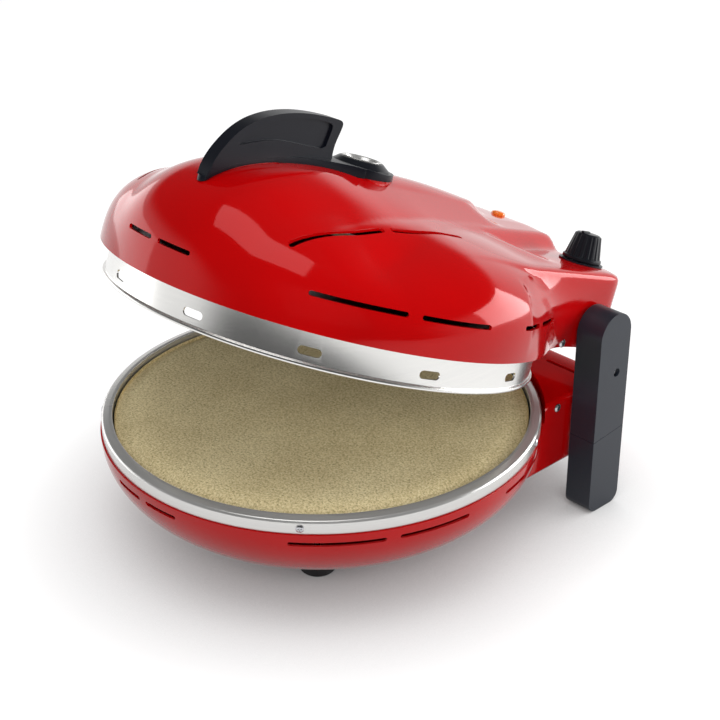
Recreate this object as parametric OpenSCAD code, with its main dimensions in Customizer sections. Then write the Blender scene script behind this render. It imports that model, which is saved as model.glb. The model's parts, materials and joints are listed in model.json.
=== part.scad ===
// Electric pizza maker: a round stone oven with a red bowl below and a hinged red dome above.
// Base pieces are drawn about the centre of the rim's top circle, lid pieces about the
// centre of the lid's lower lip. Front is -Y, rear is +Y, up is +Z, sizes in millimetres.

/* [Base] */
// Outer radius of the base rim
rim_r = 170; // [168:0.5:172]
// Height of the rim's top above the surface it stands on
rim_z = 95; // [92:1:100]
// Depth of the bowl below the rim band
bowl_depth = 76; // [70:1:77]
// Height of the silver band round the base
band_h = 11; // [9:0.5:12]
// Wall thickness of the painted shells
shell_t = 2; // [1.5:0.5:2.5]
// Distance from the rim's centre back to the middle of the whole object
bowl_shift = -18.3; // [-25:0.1:-10]

/* [Stone] */
// Radius of the baking stone
stone_r = 160.3; // [155:0.1:161]
// Thickness of the baking stone
stone_t = 12; // [10:1:14]

/* [Tail] */
// Half width of the square tail behind the bowl and the dome
tail_half_w = 130; // [128:0.5:130]
// Distance from the rim's centre to the rear face of the tail
tail_y = 194; // [192:1:195]
// Radius of the tail's corners seen from above
tail_corner_r = 20; // [16:1:22]
// Top of the base tail above the rim
deck_z = 2.5; // [2:0.5:3]
// Bottom of the base tail below the rim
tail_bottom_z = -56; // [-60:1:-50]

/* [Lid] */
// Radius of the dome's lower edge
dome_r = 172; // [171:0.5:173]
// Height of the dome's lower edge above the lip of the lid
dome_z0 = 24.7; // [22:0.1:26]
// Height of the dome's top above the lip of the lid
dome_top = 116.5; // [112:0.5:120]
// Roundness of the dome's section, where 2 is an ellipse and more is fuller
dome_full = 2.5; // [2.2:0.1:3]
// Height of the flat deck beside the knob
lid_deck_z = 84; // [80:1:88]
// Outer radius of the lid's silver band
lid_band_r = 163.5; // [162:0.5:164]

/* [Hinge] */
// Distance from the rim's centre back to the hinge rod
hinge_y = 165; // [164:0.5:165]
// Height of the hinge rod above the lip of the lid
hinge_z_lid = 36.3; // [35:0.1:38]
// How far the rod stands above its place with the lid closed, of a travel of lift_travel
lift = 11.3; // [0:0.1:11.3]
// Angle by which the lid stands open
lid_open = 20.4; // [0:0.1:60]
// Radius of the hinge rod
rod_r = 4; // [3:0.5:5]

/* [Arms] */
// Distance from the middle plane to the inner face of an arm
arm_x0 = 133; // [132:0.5:134]
// Width of an arm from its inner to its outer face
arm_w = 24; // [20:1:26]
// Depth of an arm from front to rear
arm_d = 36; // [34:1:38]
// Distance from the rim's centre back to the middle of an arm
arm_y = 160; // [158:1:161]
// Top of an arm above the rim
arm_top = 76; // [75:1:80]

/* [Hidden] */

gap = 0.3;
screw_r = 2;
red = "firebrick";
black = "#30343c";
silver = "silver";
steel = "lightslategray";
closed_gap = 1.1;
lift_travel = 11.3;
closed_rod_z = hinge_z_lid + closed_gap;

// ---- places -------------------------------------------------------------------------------

module in_base() translate([0, bowl_shift, rim_z]) children();

module in_carriage() in_base() translate([0, hinge_y, closed_rod_z + lift]) children();

module in_lid() in_carriage() rotate([-lid_open, 0, 0])
    translate([0, -hinge_y, -hinge_z_lid]) children();

// A point at angle phi round the centre, counted from the front towards the right
module round_at(phi, r) rotate([0, 0, phi - 90]) translate([r, 0, 0]) children();

module ring_of(angles, r) for (a = angles) round_at(a, r) children();

module both_sides() {
    children();
    mirror([1, 0, 0]) children();
}

// Cylinder of radius r from x0 to x1 along X
module bar_x(r, x0, x1) translate([x0, 0, 0]) rotate([0, 90, 0]) cylinder(r = r, h = x1 - x0);

// Solid whose outline (y, z) is drawn flat and runs from x0 to x1
module slab_x(x0, x1) translate([x0, 0, 0]) rotate([90, 0, 90])
    linear_extrude(height = x1 - x0) children();

// ---- base shell ---------------------------------------------------------------------------

bowl_steps = 18;
bowl_r = rim_r + 1.2;

// Section of the bowl, inset by t from the outer face: an ellipse with fuller sides
function bowl_section(t) = [for (i = [0:bowl_steps]) let (a = 90 * i / bowl_steps)
    [(bowl_r - t) * pow(cos(a), 0.8), -band_h - (bowl_depth - t) * pow(sin(a), 0.92)]];

module bowl_solid(t) rotate_extrude($fn = 180)
    polygon(concat(bowl_section(t), [[0, -band_h]]));

// Plan of the tail, inset by t: a square with its two rear corners rounded
module tail_plan(t, front) {
    r = tail_corner_r - t;
    w = tail_half_w - t;
    y = tail_y - t;
    translate([-w, front]) square([2 * w, y - r - front]);
    translate([-w + r, front]) square([2 * (w - r), y - front]);
    for (s = [-1, 1]) translate([s * (w - r), y - r]) circle(r = r, $fn = 96);
}

tail_front = 60;

module tail_solid(t) translate([0, 0, tail_bottom_z + t])
    linear_extrude(height = deck_z - tail_bottom_z - 2 * t) tail_plan(t, tail_front);

// Room for the lid's lip and band inside the raised rear deck
well_r = bowl_r + 1.4;

module rim_well(t) translate([0, 0, -band_h - t]) cylinder(r = well_r + t, h = 60, $fn = 180);

arm_bolt_z = [-44, -16];

module base_shell() color(red) in_base() difference() {
    union() {
        bowl_solid(0);
        difference() {
            tail_solid(0);
            rim_well(0);
        }
    }
    bowl_solid(shell_t);
    difference() {
        tail_solid(shell_t);
        rim_well(shell_t);
    }
    ring_of(foot_angles, foot_at_r) translate([0, 0, -100])
        cylinder(r = screw_r + 0.2, h = 60, $fn = 24);
    both_sides() for (z = arm_bolt_z) translate([0, arm_y, z])
        bar_x(3.2, tail_half_w - 8, tail_half_w + 1);
    both_sides() translate([0, tail_screw_y, tail_screw_z])
        bar_x(screw_r + 0.1, tail_half_w - 8, tail_half_w + 1);
    translate([gland_x, tail_y - 10, gland_z]) rotate([-90, 0, 0])
        cylinder(r = gland_r, h = 20, $fn = 48);
    vent_ring(bowl_r, base_vent_z);
    both_sides() translate([deck_slot_x[0], deck_slot_y, deck_z - shell_t - 1])
        cube([deck_slot_x[1] - deck_slot_x[0], vent_h, shell_t + 2]);
}

// Air slots in the rear deck of the base
deck_slot_x = [80, 116];
deck_slot_y = 173.5;

// Narrow air slots round the bowl and the dome: first and last angle from the front
side_arcs = [[39.5, 62.9], [66.2, 85.3], [98.8, 108.3], [111, 123]];
vent_arcs = concat([[-12.9, -2.7], [-0.3, 10.3]], side_arcs, [for (a = side_arcs) [-a[1], -a[0]]]);
base_vent_z = -18.7;
vent_h = 3.4;

module vent_ring(r, z) for (v = vent_arcs)
    rotate([0, 0, v[0] - 90]) rotate_extrude(angle = v[1] - v[0], $fn = 120)
        translate([r - 15, z - vent_h / 2]) square([25, vent_h]);

// ---- base band, stone and what lies under it ------------------------------------------------

band_inner_r = rim_r - 8.5;

module base_band() color(silver) in_base() difference() {
    rotate_extrude($fn = 180) polygon([
        [band_inner_r, -5], [band_inner_r, 0.2], [band_inner_r + 0.5, 0.6], [band_inner_r + 2.6, 0.6],
        [rim_r - 1.2, -0.4], [rim_r, -1.9], [rim_r, -band_h + 0.3],
        [rim_r - 3.2, -band_h + 0.3], [rim_r - 3.2, -20], [rim_r - 4.4, -20],
        [rim_r - 4.4, -band_h + 2], [rim_r - 1.5, -band_h + 2], [rim_r - 1.5, -1.5],
        [band_inner_r + 1.2, -1.5], [band_inner_r + 1.2, -5]]);
    ring_of(band_screw_angles, rim_r - 8) translate([0, 0, band_screw_z]) bar_x(1.7, 4, 9);
}

band_screw_angles = [-42.5, 42.5, 118, 242];
band_screw_z = -6;

module band_screws() color(steel) in_base() ring_of(band_screw_angles, rim_r)
    translate([0, 0, band_screw_z]) {
        bar_x(1.7, -5, 0);
        bar_x(3, 0, 0.8);
        bar_x(2.2, 0.8, 1.3);
    }

stone_top = -1.5;
stone_bottom = stone_top - stone_t;

module baking_stone() color("tan") in_base() rotate_extrude($fn = 180) polygon([
    [0, stone_bottom], [stone_r - 1, stone_bottom], [stone_r, stone_bottom + 1],
    [stone_r, stone_top - 1.2], [stone_r - 1.2, stone_top], [0, stone_top]]);

dish_floor_z = -46;
dish_t = 1;

module reflector_dish() color("gainsboro") in_base() difference() {
    rotate_extrude($fn = 180) polygon([
        [0, dish_floor_z], [128, dish_floor_z], [150, stone_bottom - dish_t],
        [rim_r - 4.6, stone_bottom - dish_t], [rim_r - 4.6, stone_bottom],
        [149.2, stone_bottom], [127.4, dish_floor_z + dish_t], [0, dish_floor_z + dish_t]]);
    lower_leg_holes();
}

module dish_standoffs() color(steel) in_base() intersection() {
    ring_of([30, 150, 270], 70) translate([0, 0, -90]) cylinder(r = 5, h = dish_floor_z + 90, $fn = 32);
    bowl_solid(shell_t);
}

element_r = 3.5;
lower_ring_r = 108;
lower_z = -30;
leg_x = 26;
leg_end_y = 147;

module lower_leg_holes() for (s = [-1, 1]) translate([s * leg_x, 90, lower_z])
    rotate([-90, 0, 0]) cylinder(r = element_r + gap, h = 70, $fn = 32);

// Tubular ring open at the rear, whose two ends run back as straight legs to leg_end
module heater(ring_r, leg_end) {
    half = asin(leg_x / ring_r);
    leg_y = ring_r * cos(half);
    rotate([0, 0, 90 + half]) rotate_extrude(angle = 360 - 2 * half, $fn = 96)
        translate([ring_r, 0]) circle(r = element_r, $fn = 24);
    for (s = [-1, 1]) translate([s * leg_x, leg_y, 0]) {
        sphere(r = element_r + 0.2, $fn = 32);
        rotate([-90, 0, 0]) cylinder(r = element_r, h = leg_end - leg_y, $fn = 24);
    }
}

module lower_heating_element() color("dimgray") in_base() translate([0, 0, lower_z])
    heater(lower_ring_r, leg_end_y);

module lower_element_supports() color(steel) in_base() difference() {
    ring_of([0, 75, 285], lower_ring_r) translate([-7, -4, dish_floor_z + dish_t])
        cube([14, 8, lower_z - dish_floor_z - dish_t]);
    translate([0, 0, lower_z]) rotate_extrude($fn = 96)
        translate([lower_ring_r, 0]) circle(r = element_r + 0.05, $fn = 24);
}

module terminal_block() color("ivory") in_base() difference() {
    translate([-42, leg_end_y, lower_z - 9]) cube([84, 20, 18]);
    for (s = [-1, 1]) translate([s * leg_x, leg_end_y + 10, lower_z - 10])
        cylinder(r = 2.5, h = 30, $fn = 24);
}

// ---- feet ---------------------------------------------------------------------------------

foot_angles = [45, 135, 225, 315];
foot_at_r = 88;
foot_r = 13.5;
foot_h = 9;

module feet() color("#202226") in_base() difference() {
    ring_of(foot_angles, foot_at_r) translate([0, 0, -rim_z]) {
        cylinder(r1 = foot_r - 1, r2 = foot_r, h = 1, $fn = 48);
        translate([0, 0, 1]) cylinder(r = foot_r, h = foot_h - 1, $fn = 48);
        translate([0, 0, foot_h]) cylinder(r = foot_r - 2.5, h = 30, $fn = 48);
    }
    bowl_solid(0);
    ring_of(foot_angles, foot_at_r) translate([0, 0, -rim_z - 1]) {
        cylinder(r = screw_r + 0.1, h = 60, $fn = 24);
        cylinder(r = 5.5, h = 6, $fn = 32);
    }
}

module foot_screws() color(steel) in_base() ring_of(foot_angles, foot_at_r)
    translate([0, 0, -rim_z + 5 - 2.4]) {
        cylinder(r = 4, h = 2.4, $fn = 32);
        cylinder(r = screw_r, h = 22, $fn = 24);
    }

// ---- tail fittings --------------------------------------------------------------------------

tail_screw_y = 128;
tail_screw_z = -3;
gland_x = -62;
gland_z = -28;
gland_r = 8;
cable_r = 4;

module tail_screws() color(steel) in_base() both_sides()
    translate([0, tail_screw_y, tail_screw_z]) {
        bar_x(screw_r, tail_half_w - 7, tail_half_w);
        bar_x(3.4, tail_half_w, tail_half_w + 1.6);
    }

module cable_gland() color(black) in_base() translate([gland_x, tail_y, gland_z])
    rotate([-90, 0, 0]) difference() {
        union() {
            translate([0, 0, -9]) cylinder(r = gland_r, h = 9, $fn = 48);
            cylinder(r = 11, h = 3, $fn = 48);
            translate([0, 0, 3]) cylinder(r1 = 9, r2 = 7, h = 9, $fn = 48);
            translate([0, 0, -9]) cylinder(r = 11, h = 5.8, $fn = 6);
        }
        translate([0, 0, -10]) cylinder(r = cable_r, h = 30, $fn = 48);
    }

// ---- arms -----------------------------------------------------------------------------------

arm_x1 = arm_x0 + arm_w;
arm_corner_r = 9;
arm_wall = 2.6;
split_z = -28;
split_tilt = 5.7;

// Outline of an arm seen from the side, inset by t: a pill with a nearly square foot
module arm_outline(t) {
    r = arm_d / 2 - t;
    c = arm_corner_r - t;
    translate([arm_y, arm_top - arm_d / 2]) circle(r = r, $fn = 96);
    translate([arm_y - r, -rim_z + arm_corner_r]) square([2 * r, arm_top - arm_d / 2 + rim_z - arm_corner_r]);
    translate([arm_y - r + c, -rim_z + t]) square([2 * (r - c), arm_corner_r]);
    for (s = [-1, 1]) translate([arm_y + s * (r - c), -rim_z + arm_corner_r]) circle(r = c, $fn = 48);
}

// Half plane above (side = 1) or below (side = -1) the slanted split of the arm's cover
module split_side(side) translate([arm_y, split_z]) rotate(split_tilt)
    translate([-50, side > 0 ? 0.15 : -200.15]) square([100, 200]);

module arm_cover(side) difference() {
    union() {
        slab_x(arm_x0, arm_x1 - 2.4) intersection() { arm_outline(0); split_side(side); }
        slab_x(arm_x1 - 2.4, arm_x1 - 0.9) intersection() { arm_outline(0.7); split_side(side); }
        slab_x(arm_x1 - 0.9, arm_x1) intersection() { arm_outline(2.2); split_side(side); }
    }
    slab_x(arm_x0 - 1, arm_x1 - arm_wall) arm_outline(arm_wall);
    translate([0, arm_screw_y, arm_screw_z]) bar_x(arm_screw_hole_r, arm_x0, arm_x1 + 1);
}

arm_screw_y = 164;
arm_screw_z = 25;
arm_screw_hole_r = 3.4;
frame_t = 2;
slot_r = rod_r + 0.3;
rail_in = 7.8;
rail_t = 2.2;
arm_foot_z = [-54, -6];

// Steel plate that closes the arm's inner side, with the rod's slot and two guide rails
module arm_frame() difference() {
    union() {
        slab_x(arm_x0, arm_x0 + frame_t) arm_outline(arm_wall + 0.2);
        slab_x(tail_half_w, arm_x0) translate([arm_y - 14, arm_foot_z[0]]) square([28, arm_foot_z[1] - arm_foot_z[0]]);
        for (s = [0, 1]) slab_x(arm_x0 + frame_t, arm_x0 + 14)
            translate([hinge_y + (s > 0 ? rail_in : -rail_in - rail_t), 16]) square([rail_t, 42]);
    }
    for (z = [closed_rod_z, closed_rod_z + lift_travel]) translate([0, hinge_y, z]) bar_x(slot_r, 120, arm_x0 + 3);
    translate([120, hinge_y - slot_r, closed_rod_z]) cube([arm_x0 - 117, 2 * slot_r, lift_travel]);
    for (z = arm_bolt_z) translate([0, arm_y, z]) bar_x(3.2, 120, arm_x0 + 3);
    translate([0, arm_screw_y, arm_screw_z]) bar_x(screw_r, 120, arm_x0 + 3);
}

module arm_frame_right() color(steel) in_base() arm_frame();
module arm_frame_left() color(steel) in_base() mirror([1, 0, 0]) arm_frame();
module arm_cover_upper_right() color(black) in_base() arm_cover(1);
module arm_cover_lower_right() color(black) in_base() arm_cover(-1);
module arm_cover_upper_left() color(black) in_base() mirror([1, 0, 0]) arm_cover(1);
module arm_cover_lower_left() color(black) in_base() mirror([1, 0, 0]) arm_cover(-1);

module arm_bolts() color(steel) in_base() both_sides() for (z = arm_bolt_z)
    translate([0, arm_y, z]) {
        bar_x(3, tail_half_w - shell_t - 6, arm_x0 + frame_t);
        bar_x(5, arm_x0 + frame_t, arm_x0 + frame_t + 3);
        translate([tail_half_w - shell_t - 3, 0, 0]) rotate([0, 90, 0]) difference() {
            cylinder(r = 5.5, h = 3, $fn = 6);
            cylinder(r = 3, h = 3, $fn = 24);
        }
    }

module arm_screws() color(steel) in_base() both_sides()
    translate([0, arm_screw_y, arm_screw_z]) {
        bar_x(screw_r, arm_x0, arm_x1 - arm_wall - 2.4);
        bar_x(5, arm_x1 - arm_wall - 2.4, arm_x1 - arm_wall);
    }

// ---- hinge carriage ---------------------------------------------------------------------------

rod_end_x = arm_x0 + 15;
block_x = arm_x0 + frame_t + 0.5;
block_w = 10;

module hinge_rod() color("gainsboro") in_carriage() bar_x(rod_r, -rod_end_x, rod_end_x);

module slide_blocks() color("#d8d8d0") in_carriage() both_sides() difference() {
    slab_x(block_x, block_x + block_w) translate([-7.5, -7]) square([15, 14]);
    bar_x(rod_r, block_x - 1, block_x + block_w + 1);
}

module rod_clips() color(steel) in_carriage() both_sides() difference() {
    bar_x(7, block_x + block_w, block_x + block_w + 1);
    bar_x(rod_r, block_x, block_x + block_w + 2);
}

// ---- lid surface ------------------------------------------------------------------------------

function ease(t) = let (u = min(1, max(0, t))) u * u * (3 - 2 * u);
function mix(a, b, t) = a + (b - a) * t;

// Distance from the centre to the outline of the square tail, in direction a from +X
function square_reach(a) = let (
    c = abs(cos(a)),
    s = sin(a),
    straight = min(c > 0.001 ? tail_half_w / c : 999, s > 0.001 ? tail_y / s : 999),
    x = straight * c,
    y = straight * s,
    cx = tail_half_w - tail_corner_r,
    cy = tail_y - tail_corner_r,
    along = c * cx + s * cy,
    off2 = cx * cx + cy * cy - along * along)
    x > cx && y > cy ? along + sqrt(tail_corner_r * tail_corner_r - off2) : straight;

// The same for the whole lid: the dome's circle in front, filleted where it meets the tail
edge_fillet = 80;
fillet_x = tail_half_w + edge_fillet;
fillet_y = sqrt(pow(dome_r + edge_fillet, 2) - fillet_x * fillet_x);
function plan_reach(a) = sin(a) <= 0 ? dome_r : let (
    turn = atan2(sin(a), abs(cos(a))),
    along = abs(cos(a)) * fillet_x + sin(a) * fillet_y,
    inside = along * along - fillet_x * fillet_x - fillet_y * fillet_y + edge_fillet * edge_fillet)
    turn > atan2(fillet_y, fillet_x) && turn < atan2(fillet_y, tail_half_w)
    ? along - sqrt(max(0, inside))
    : max(dome_r, square_reach(a));

// Heights of the spine, which is crowned, and of the shoulder beside it
spine_w = 26;
function shoulder_z(y) = 97.5 - 0.022 * (y - 32);
function shoulder_w(y) = 65 - 0.125 * (y - 32);
function spine_z(x, y) = let (
    across = pow(x / spine_w, 2),
    middle = dome_top - 10.5 * pow(max(0, y) / 124, 2),
    edge = dome_top - 5 - 0.044 * y,
    top = middle - (middle - edge) * ease((y + 80) / 60) * across)
    mix(top, shoulder_z(y) + 1.5, ease((y - 124 + 24 * across) / 28));
function shoulder(x, y) = x < spine_w ? spine_z(x, y)
    : mix(spine_z(spine_w, y), shoulder_z(y), min(1, (x - spine_w) / (shoulder_w(y) - spine_w)));
function stepped(x, y) = let (w = shoulder_w(y))
    mix(shoulder(x, y), lid_deck_z, ease((x - w) / (16 + 0.1 * max(0, 180 - y))));

// Height of the lid: a round dome, and the stepped box of the tail that runs out of it
side_full = 3.2;
box_full = 30;
side_blend = 8;
function bulge(s, p) = pow(max(0, 1 - pow(s, p)), 1 / p);
function soft_max(a, b, t) = let (h = max(0, t - abs(a - b)) / max(t, 0.001)) max(a, b) + h * h * t / 4;
function dome_reach(a) = mix(plan_reach(a), dome_r, ease((atan2(sin(a), abs(cos(a))) - 45) / 12));
function dome_rise(x, y, a) = let (
    side = abs(x),
    rear = mix(stepped(side, y), shoulder(side, y), ease((y + 80) / 80)),
    top = mix(dome_top, rear, ease((y + 160) / 90)),
    full = dome_full + 0.7 * ease((70 - side) / 45),
    p = mix(full, side_full, ease((asin(sin(a)) + 60) / 60)))
    (top - dome_z0) * bulge(norm([x, y]) / dome_reach(a), p);
function box_rise(x, y, a) = (stepped(abs(x), y) - dome_z0)
    * bulge(norm([x, y]) / square_reach(y > 0 ? a : 0), box_full);
function lid_height(x, y) = let (
    a = atan2(y, x),
    dome = dome_rise(x, y, a),
    box = y > -20 ? box_rise(x, y, a) : 0,
    blend = side_blend * ease((abs(x) - 55) / 40) * min(1, max(dome, box) / 40))
    dome_z0 + mix(dome, soft_max(dome, box, blend), ease((y + 20) / 40));

// How far a ray from the middle of the lower edge runs inside the lid, found by halving
function ray_reach(c, s, e, low, high, n) = let (k = (low + high) / 2)
    n == 0 ? k
    : dome_z0 + k * e < lid_height(k * c, k * s) ? ray_reach(c, s, e, k, high, n - 1)
    : ray_reach(c, s, e, low, k, n - 1);

lid_n = 96;
lid_m = 18;
function lid_ray(a, rise) = let (
    c = cos(a) * cos(rise),
    s = sin(a) * cos(rise),
    k = rise == 0 ? plan_reach(a) : ray_reach(c, s, sin(rise), 0, 260, 18))
    [k * c, k * s, dome_z0 + k * sin(rise)];
lid_outer = concat([[0, 0, dome_top]], [for (j = [1:lid_m], i = [0:lid_n - 1])
    lid_ray(360 * i / lid_n, 90 * pow(1 - j / lid_m, 1.4))]);

// The inner face: the outer one drawn in by t
function drawn_in(p, t) = let (
    k = 1 - t / plan_reach(atan2(p[1], p[0])),
    top = dome_top - dome_z0)
    [p[0] * k, p[1] * k, dome_z0 + (p[2] - dome_z0) * (top - t) / top];
lid_points = concat(lid_outer, [for (p = lid_outer) drawn_in(p, shell_t)]);
function lid_faces(base, flip) = let (
    id = function (i, j) base + 1 + (j - 1) * lid_n + i % lid_n,
    quads = [for (i = [0:lid_n - 1], j = [1:lid_m - 1])
        each [[id(i, j), id(i + 1, j), id(i + 1, j + 1)], [id(i, j), id(i + 1, j + 1), id(i, j + 1)]]],
    fan = [for (i = [0:lid_n - 1]) [base, id(i + 1, 1), id(i, 1)]])
    [for (f = concat(quads, fan)) flip ? [f[2], f[1], f[0]] : f];
inner_base = len(lid_outer);
function lid_rim() = let (o = 1 + (lid_m - 1) * lid_n)
    [for (i = [0:lid_n - 1]) let (k = (i + 1) % lid_n)
        each [[inner_base + o + i, o + i, o + k], [inner_base + o + i, o + k, inner_base + o + k]]];

// Air slots over each side of the dome, given by the points that they run along
lid_vent_z = 49.5;
front_slot = [[82, -130], [85.4, -112], [86.8, -90], [86.9, -70], [86.6, -54]];
rear_slot = [[87.4, -43], [90.5, -30], [93.6, -17], [95.6, 0], [96.6, 17]];
knob_x = 96;
knob_y = 172;
lamp_y = 178;

module slot_along(path) for (i = [1:len(path) - 1]) let (d = path[i] - path[i - 1])
    translate([path[i - 1][0], path[i - 1][1], 60]) rotate([0, 0, atan2(d[1], d[0])])
        translate([0, -vent_h / 2, 0]) cube([norm(d) + 0.6, vent_h, 60]);

// The whole lid as a solid, for what must fit on it
module lid_solid() polyhedron(points = lid_outer,
    faces = concat(lid_faces(0, false), [[for (i = [0:lid_n - 1]) inner_base - lid_n + i]]));

module lid_shell() color(red) in_lid() difference() {
    polyhedron(points = lid_points, faces = concat(lid_faces(0, false), lid_faces(inner_base, true), lid_rim()));
    translate([knob_x, knob_y, 60]) cylinder(r = 4.5, h = 60, $fn = 32);
    translate([0, lamp_y, 60]) cylinder(r = 5.3, h = 60, $fn = 32);
    both_sides() translate([0, hinge_y, hinge_z_lid]) bar_x(rod_r + 1, tail_half_w - 10, tail_half_w + 5);
    both_sides() translate([0, lid_screw_y, lid_screw_z]) bar_x(screw_r + 0.1, tail_half_w - 10, tail_half_w + 5);
    for (y = handle_screw_y) translate([0, y, 60]) cylinder(r = screw_r + 0.2, h = 80, $fn = 24);
    translate([0, sight_y, 90]) cylinder(r = sight_hole_r, h = 60, $fn = 64);
    vent_ring(dome_r, lid_vent_z);
    both_sides() {
        slot_along(front_slot);
        slot_along(rear_slot);
    }
}

// ---- lid band, reflector and heating element ----------------------------------------------------

lip_r = lid_band_r + 2.3;
band_hole_phase = 13;
band_hole_z = 10.5;
band_hole_r = 3;
band_hole_half = 5.2;
band_top_z = 29;

module lid_band() color(silver) in_lid() difference() {
    rotate_extrude($fn = 180) polygon([
        [lid_band_r - 3, 0.6], [lid_band_r - 2.4, 0], [lip_r - 0.8, 0], [lip_r, 0.8],
        [lip_r, 1.8], [lip_r - 0.8, 2.6], [lid_band_r, 2.6], [lid_band_r, 26],
        [dome_r - shell_t - 0.4, 26], [dome_r - shell_t - 0.4, 27.2], [lid_band_r, 27.2],
        [lid_band_r, band_top_z], [lid_band_r - 1.4, band_top_z], [lid_band_r - 1.4, 2.6],
        [lid_band_r - 3, 2]]);
    for (k = [0:11]) round_at(band_hole_phase + 30 * k, lid_band_r - 6)
        translate([0, 0, band_hole_z]) {
            for (s = [-1, 1]) translate([0, s * band_hole_half, 0]) bar_x(band_hole_r, 0, 12);
            translate([0, -band_hole_half, -band_hole_r]) cube([12, 2 * band_hole_half, 2 * band_hole_r]);
        }
    ring_of(lid_band_screw_angles, lid_band_r - 6) translate([0, 0, 19]) bar_x(1.6, 0, 10);
}

lid_band_screw_angles = [148, 208, 238, 298];

module lid_band_screws() color(steel) in_lid() ring_of(lid_band_screw_angles, lid_band_r)
    translate([0, 0, 19]) {
        bar_x(1.6, -4, 0);
        bar_x(2.8, 0, 1.2);
    }

module lid_tail_cover() color("#8a1010") in_lid() difference() {
    translate([0, 0, dome_z0]) linear_extrude(height = 1.5) tail_plan(shell_t + 1.2, 118);
    translate([0, 0, dome_z0 - 1]) cylinder(r = dome_r + 1, h = 4, $fn = 180);
}

dome_pan_z = 66;

module lid_reflector() color("gainsboro") in_lid() difference() {
    rotate_extrude($fn = 180) polygon([
        [0, dome_pan_z], [112, dome_pan_z], [148, 30], [lid_band_r - 1.6, 30],
        [lid_band_r - 1.6, 28.8], [147.2, 28.8], [111.4, dome_pan_z - 1.2], [0, dome_pan_z - 1.2]]);
    upper_leg_holes();
    translate([0, sight_y, 50]) cylinder(r = 16, h = 30, $fn = 64);
}

upper_ring_r = 100;
upper_z = 44;
upper_leg_end = 146;

module upper_leg_holes() for (s = [-1, 1]) translate([s * leg_x, 90, upper_z])
    rotate([-90, 0, 0]) cylinder(r = element_r + gap, h = 70, $fn = 32);

module upper_heating_element() color("dimgray") in_lid() translate([0, 0, upper_z])
    heater(upper_ring_r, upper_leg_end);

module upper_element_clips() color(steel) in_lid() difference() {
    ring_of([0, 75, 285], upper_ring_r) translate([-6, -4, upper_z])
        cube([12, 8, dome_pan_z - 1.2 - upper_z]);
    translate([0, 0, upper_z]) rotate_extrude($fn = 96)
        translate([upper_ring_r, 0]) circle(r = element_r + 0.05, $fn = 24);
}

// ---- lid hinge brackets and side screws -----------------------------------------------------------

lid_screw_x = tail_half_w + 1.6;
lid_screw_y = 128;
lid_screw_z = 29;
bracket_x = tail_half_w - shell_t - 6;
bracket_r = 8.5;

module hinge_brackets() color(steel) in_lid() both_sides() difference() {
    slab_x(bracket_x, bracket_x + 4.6) {
        translate([hinge_y, hinge_z_lid]) circle(r = bracket_r, $fn = 64);
        translate([hinge_y - bracket_r, hinge_z_lid]) square([2 * bracket_r, 28]);
    }
    translate([0, hinge_y, hinge_z_lid]) bar_x(rod_r + 0.05, bracket_x - 1, bracket_x + 6);
}

module lid_side_screws() color(steel) in_lid() both_sides()
    translate([0, lid_screw_y, lid_screw_z]) {
        bar_x(screw_r, tail_half_w - 8, lid_screw_x);
        bar_x(3.4, lid_screw_x, lid_screw_x + 1.4);
    }

// ---- thermostat, knob and lamp ------------------------------------------------------------------

deck_top = 84.2;
spindle_r = 3;
thermostat_z = 52;

module thermostat_body() color("ivory") in_lid() translate([knob_x, knob_y, thermostat_z]) difference() {
    union() {
        translate([-15, -13, 0]) cube([30, 26, 16]);
        translate([0, 0, 16]) cylinder(r = 6, h = 8, $fn = 48);
    }
    translate([0, 0, 9]) cylinder(r = spindle_r + 0.05, h = 20, $fn = 48);
}

module thermostat_bracket() color(steel) in_lid() translate([knob_x, knob_y, thermostat_z]) difference() {
    union() {
        translate([-18, -10, 16]) cube([36, 20, 1.5]);
        for (s = [-1, 1]) translate([s * 17.25 - 0.75, -10, 16]) cube([1.5, 20, 10]);
    }
    translate([0, 0, 15]) cylinder(r = 6, h = 10, $fn = 48);
}

module dial_plate() color("#1c1e22") in_lid() translate([knob_x, knob_y, deck_top]) difference() {
    cylinder(r = 17.5, h = 0.9, $fn = 96);
    translate([0, 0, -1]) cylinder(r = 4.2, h = 4, $fn = 32);
}

knob_r = 15.5;
knob_h = 22;
knob_z = deck_top + 1.5;

module thermostat_knob() color(black) in_lid() translate([knob_x, knob_y, knob_z]) difference() {
    union() {
        cylinder(r = knob_r, h = 3, $fn = 96);
        translate([0, 0, 3]) cylinder(r1 = knob_r - 1.5, r2 = knob_r - 5, h = knob_h - 4, $fn = 96);
        translate([0, 0, knob_h - 1]) cylinder(r1 = knob_r - 5, r2 = knob_r - 7, h = 1, $fn = 96);
        translate([-1.5, -knob_r + 7, knob_h - 3]) cube([3, knob_r - 7, 4.5]);
    }
    for (k = [0:17]) rotate([0, 0, 20 * k + 10]) translate([knob_r - 0.3, 0, 3]) rotate([0, -11, 0])
        cylinder(r = 1.9, h = knob_h + 2, $fn = 16);
    translate([0, 0, -1]) cylinder(r = spindle_r, h = 15, $fn = 48);
}

module knob_spindle() color(steel) in_lid() translate([knob_x, knob_y, thermostat_z + 9.5])
    cylinder(r = spindle_r, h = knob_z + 14 - thermostat_z - 9.5, $fn = 48);

lamp_z = 96;

module pilot_lamp_lens() color("darkorange") in_lid() translate([0, lamp_y, lamp_z]) {
    cylinder(r = 6, h = 2.2, $fn = 48);
    translate([0, 0, 2.2]) intersection() {
        translate([0, 0, -4]) sphere(r = 7, $fn = 48);
        cylinder(r = 5.6, h = 5, $fn = 48);
    }
}

module pilot_lamp_body() color("ivory") in_lid() translate([0, lamp_y, lamp_z]) {
    translate([0, 0, -24]) cylinder(r = 5, h = 24, $fn = 48);
    translate([0, 0, -14]) cylinder(r = 8, h = 3, $fn = 6);
}

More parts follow.
